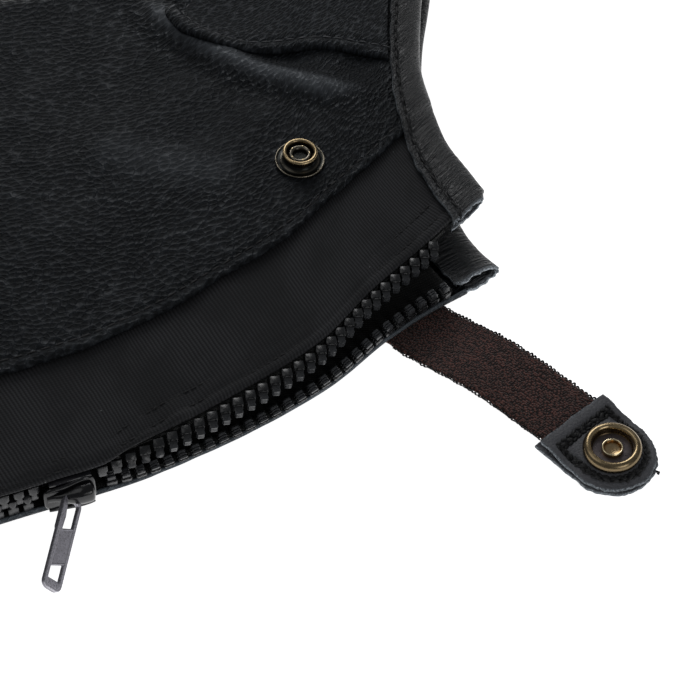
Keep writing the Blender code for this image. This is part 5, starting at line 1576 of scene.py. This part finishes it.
turned_piece("snap_stud_spring", (
    (0, 1.4, 0), (2.95, 1.4, 0.0), (2.9, 2.1, 0.1), (2.75, 2.45, 0.35), (2.45, 2.60, 0.5), (2.1, 2.56, 0.5),
    (1.8, 2.35, 0.15), (1.6, 1.9, 0.0), (1.5, 1.60, 0.0), (0, 1.55, 0.0)),
    stud_at, stud_axes, black_brass, ("snap_stud",))
# painted glints: five tiny raised bits of bright, rubbed brass on the spring's top ring stand in for its highlights
angle = np.radians((20, 92, 164, 236, 308))
painted_glint_at = stud_at + (np.column_stack((2.35 * np.cos(angle), 2.35 * np.sin(angle), np.full(5, 2.45))) @ stud_axes)
painted_glint_axes = np.stack([np.stack((-np.sin(a) * stud_axes[0] + np.cos(a) * stud_axes[1],
                                np.cos(a) * stud_axes[0] + np.sin(a) * stud_axes[1], stud_axes[2])) for a in angle])
points, faces = copies(*rounded_block(0.42, 0.14, 0.0, 0.30, 0.13, 0.05, 4), painted_glint_at, painted_glint_axes)
piece("snap_stud_painted_glints", points, faces, bright_brass, marks={"wear": np.full(len(points), 0.8)})

# %% [markdown]
# ## The stitches
# Every seam is sewn with thick black thread, and each stitch dips into the leather at both ends.
# A bump map can't stand proud, so they are real: one six-sided capsule, laid along each seam by
# arithmetic. A seam is a line of points with the way out of the leather at each. The tab's own
# thread is thicker and shaggy, and its stitches overlap round the sunk channel.

# %% Stitches
def one_stitch(length, radius, dip):
    """A capsule along X, thinner and lower at its ends: six rings of six points."""
    at = np.array((-0.5, -0.40, -0.15, 0.15, 0.40, 0.5))
    thick = np.array((0.30, 0.85, 1.0, 1.0, 0.85, 0.30)) * radius
    angle = np.linspace(0, 2 * math.pi, 6, endpoint=False)
    rings = np.stack((np.broadcast_to(at[:, None] * length, (6, 6)), thick[:, None] * np.cos(angle),
                      thick[:, None] * np.sin(angle) - dip * (2 * at[:, None]) ** 4), axis=-1)
    return stack(rings)


def stitches(name, line, normal, pitch, length, radius, finish, closed=False, jitter=0.06, worn=0.6, seed=0):
    """Stitches every pitch along a line, each lying along it with its top to the normal."""
    line = np.asarray(line, float)
    run = run_along(line)
    count = int((run[-1] - (0 if closed else length)) / pitch)
    at = (np.arange(count) + 0.5) * (run[-1] / count)
    pick = lambda values, where: np.stack([np.interp(where, run, values[:, k]) for k in range(3)], axis=1)
    along = pick(line, at + length / 2) - pick(line, at - length / 2)
    along = unit(along)
    up = pick(np.broadcast_to(normal, line.shape), at)
    side = np.cross(up, along)
    side = unit(side)
    up = np.cross(along, side)
    dice = np.random.default_rng(seed)
    turn = dice.normal(0.0, jitter, (count, 1))
    along, side = along + side * turn, side - along * turn
    size = dice.uniform(0.90, 1.08, (count, 3, 1))
    axes = np.stack((along, side, up), axis=1) * size
    points, faces = copies(*one_stitch(length, radius, radius * 0.9), pick(line, at), axes)
    made = piece(name, points, faces, finish, marks={"wear": np.repeat(dice.uniform(0.0, worn, count), 38)})
    print(count, "stitches")
    return made


def seam_on_leg(skin, x, around, depth):
    """A seam's points at a depth in a layer, and the ways out of it."""
    return at_depth(skin, x, around, np.full(np.shape(x), depth)), outward(skin, x, around)[0]


x_seam = np.linspace(KNEE + 5.0, ANKLE - 4.5, 700)
line, normal = seam_on_leg(upper_skin, x_seam, leg("gusset", x_seam) + 3.5, 0.18)
stitches("leather_edge_stitches", line, normal, 3.3, 2.5, 0.25, black_thread, seed=1)
across_edge = np.gradient(patch_edge, axis=0)
across_edge = unit(across_edge)
inset_edge = patch_edge + 3.0 * across_edge[:, ::-1] * (-1, 1)
line, normal = seam_on_leg(upper_skin, inset_edge[4:-1, 0], inset_edge[4:-1, 1], -PATCH_LIFT - PATCH_LEATHER + 0.22)
stitches("instep_stitches", line, normal, 3.1, 2.4, 0.24, painted_highlight_thread, seed=2)
for number, reach in enumerate((4.0, 8.4)):
    line, normal = seam_on_leg(upper_skin, x_seam, upper_root(x_seam) + reach, ELASTIC_TOP + 0.20)
    stitches(f"elastic_stitches_{number + 1}", line, normal, 2.1, 1.6, 0.17, black_thread, worn=0.1,
             seed=3 + number)
for number, (line, normal) in enumerate(hem_seams):
    stitches(f"hem_stitches_{number + 1}", line, normal, 3.2, 2.6, 0.32, black_thread, seed=6 + number)

TAB_THREADS = ((0.0, 0.58, 2.6, 2.1), (0.45, 0.40, 1.7, 1.5), (-0.5, 0.36, 1.6, 1.6))
for number, (shift, radius, length, pitch) in enumerate(TAB_THREADS):
    ring_now = tab_ring(0.0, 0.0, TAB_SEAM + shift)
    ring_now = np.concatenate((ring_now, ring_now[:1]))
    height = TAB_TOP + TAB_LEATHER - 0.32 + 0.1 * number - tab_sag(ring_now, TAB_DROOP)
    line = np.column_stack((ring_now, height))
    stitches(f"tab_stitches_{number + 1}", line, np.array((0.0, 0.0, 1.0)), pitch, length, radius, black_thread,
             closed=True, jitter=0.40, worn=0.15, seed=20 + number)

# %% [markdown]
# ## Loose fibres
# Raw leather and webbing are never clean-edged: grey fibres stand out of the tab's rim and of
# the shaggy thread, and one thread's tail curls past the end of the tab. Each fibre is a bent
# spike with three sides, copied with sizes and turns from a fixed seed.

# %% Loose fibres
def fibres(name, roots, ways, length, radius, finish, seed):
    """Bent three-sided spikes from each root, more or less along its way."""
    dice = np.random.default_rng(seed)
    count = len(roots)
    at = np.linspace(0.0, 1.0, 5)
    angle = np.radians((0, 120, 240))
    rings = np.stack((at[:, None] + 0 * angle,
                      0.45 * at[:, None] ** 2 + (1 - at[:, None]) * np.cos(angle) * radius / length,
                      (1 - at[:, None]) * np.sin(angle) * radius / length), axis=-1)
    ways = ways + dice.normal(0.0, 0.45, (count, 3))
    ways = unit(ways)
    side = np.cross(ways, dice.normal(size=(count, 3)))
    side = unit(side)
    sizes = length * dice.uniform(0.4, 1.3, count)
    axes = np.stack((ways, side, np.cross(ways, side)), axis=1) * sizes[:, None, None]
    points, faces = copies(*stack(rings), roots, axes)
    points[:, 2] = np.maximum(points[:, 2], 0.05)
    piece(name, points, faces, finish, marks={"wear": np.full(len(points), 0.3)})
    print(count, "fibres")


ring = tab_ring(-0.2, 0.1, 0.0, 60, 140)
dice = np.random.default_rng(40)
pick = dice.integers(0, len(ring), 150)
outwards = ring[pick] - SNAP_CENTRE
outwards = unit(outwards)
top = dice.random(150) < 0.5
on_top = TAB_TOP + dice.uniform(0.1, 0.9, 150) - tab_sag(ring[pick], TAB_DROOP)
height = np.where(top, on_top, TAB_BOTTOM + dice.uniform(0.2, 1.1, 150))
fibres("tab_fibres", np.column_stack((ring[pick], height)), np.column_stack((outwards, np.zeros(150))), 0.55, 0.06,
       pale_fibre, 41)
ring = tab_ring(0.0, 0.0, TAB_SEAM, 60, 140)
pick = dice.integers(0, len(ring), 620)
height = TAB_TOP + TAB_LEATHER + 0.05 - tab_sag(ring[pick], TAB_DROOP)
ways = np.tile((0.0, 0.0, 0.35), (620, 1)) + dice.normal(0, 0.7, (620, 3))
fibres("tab_thread_fuzz", np.column_stack((ring[pick], height)), ways, 0.95, 0.10, black_thread, 42)
forward, side = heading(TAB_WAY)
tail = SNAP_CENTRE + forward * 9.0 + side * 4.6
path = np.array([(*(tail + forward * f + side * g), z) for f, g, z in (
    (0.0, 0.0, 1.6), (0.5, 0.1, 1.8), (1.0, 0.4, 1.8), (1.4, 0.8, 1.5), (1.5, 0.5, 1.3), (1.2, 0.2, 1.4))])
points, faces = tube(path, np.array((0.3, 0.32, 0.30, 0.34, 0.30, 0.12)), sides=8)
piece("tab_thread_tail", points, faces, black_thread, marks={"wear": np.full(len(points), 0.2)})
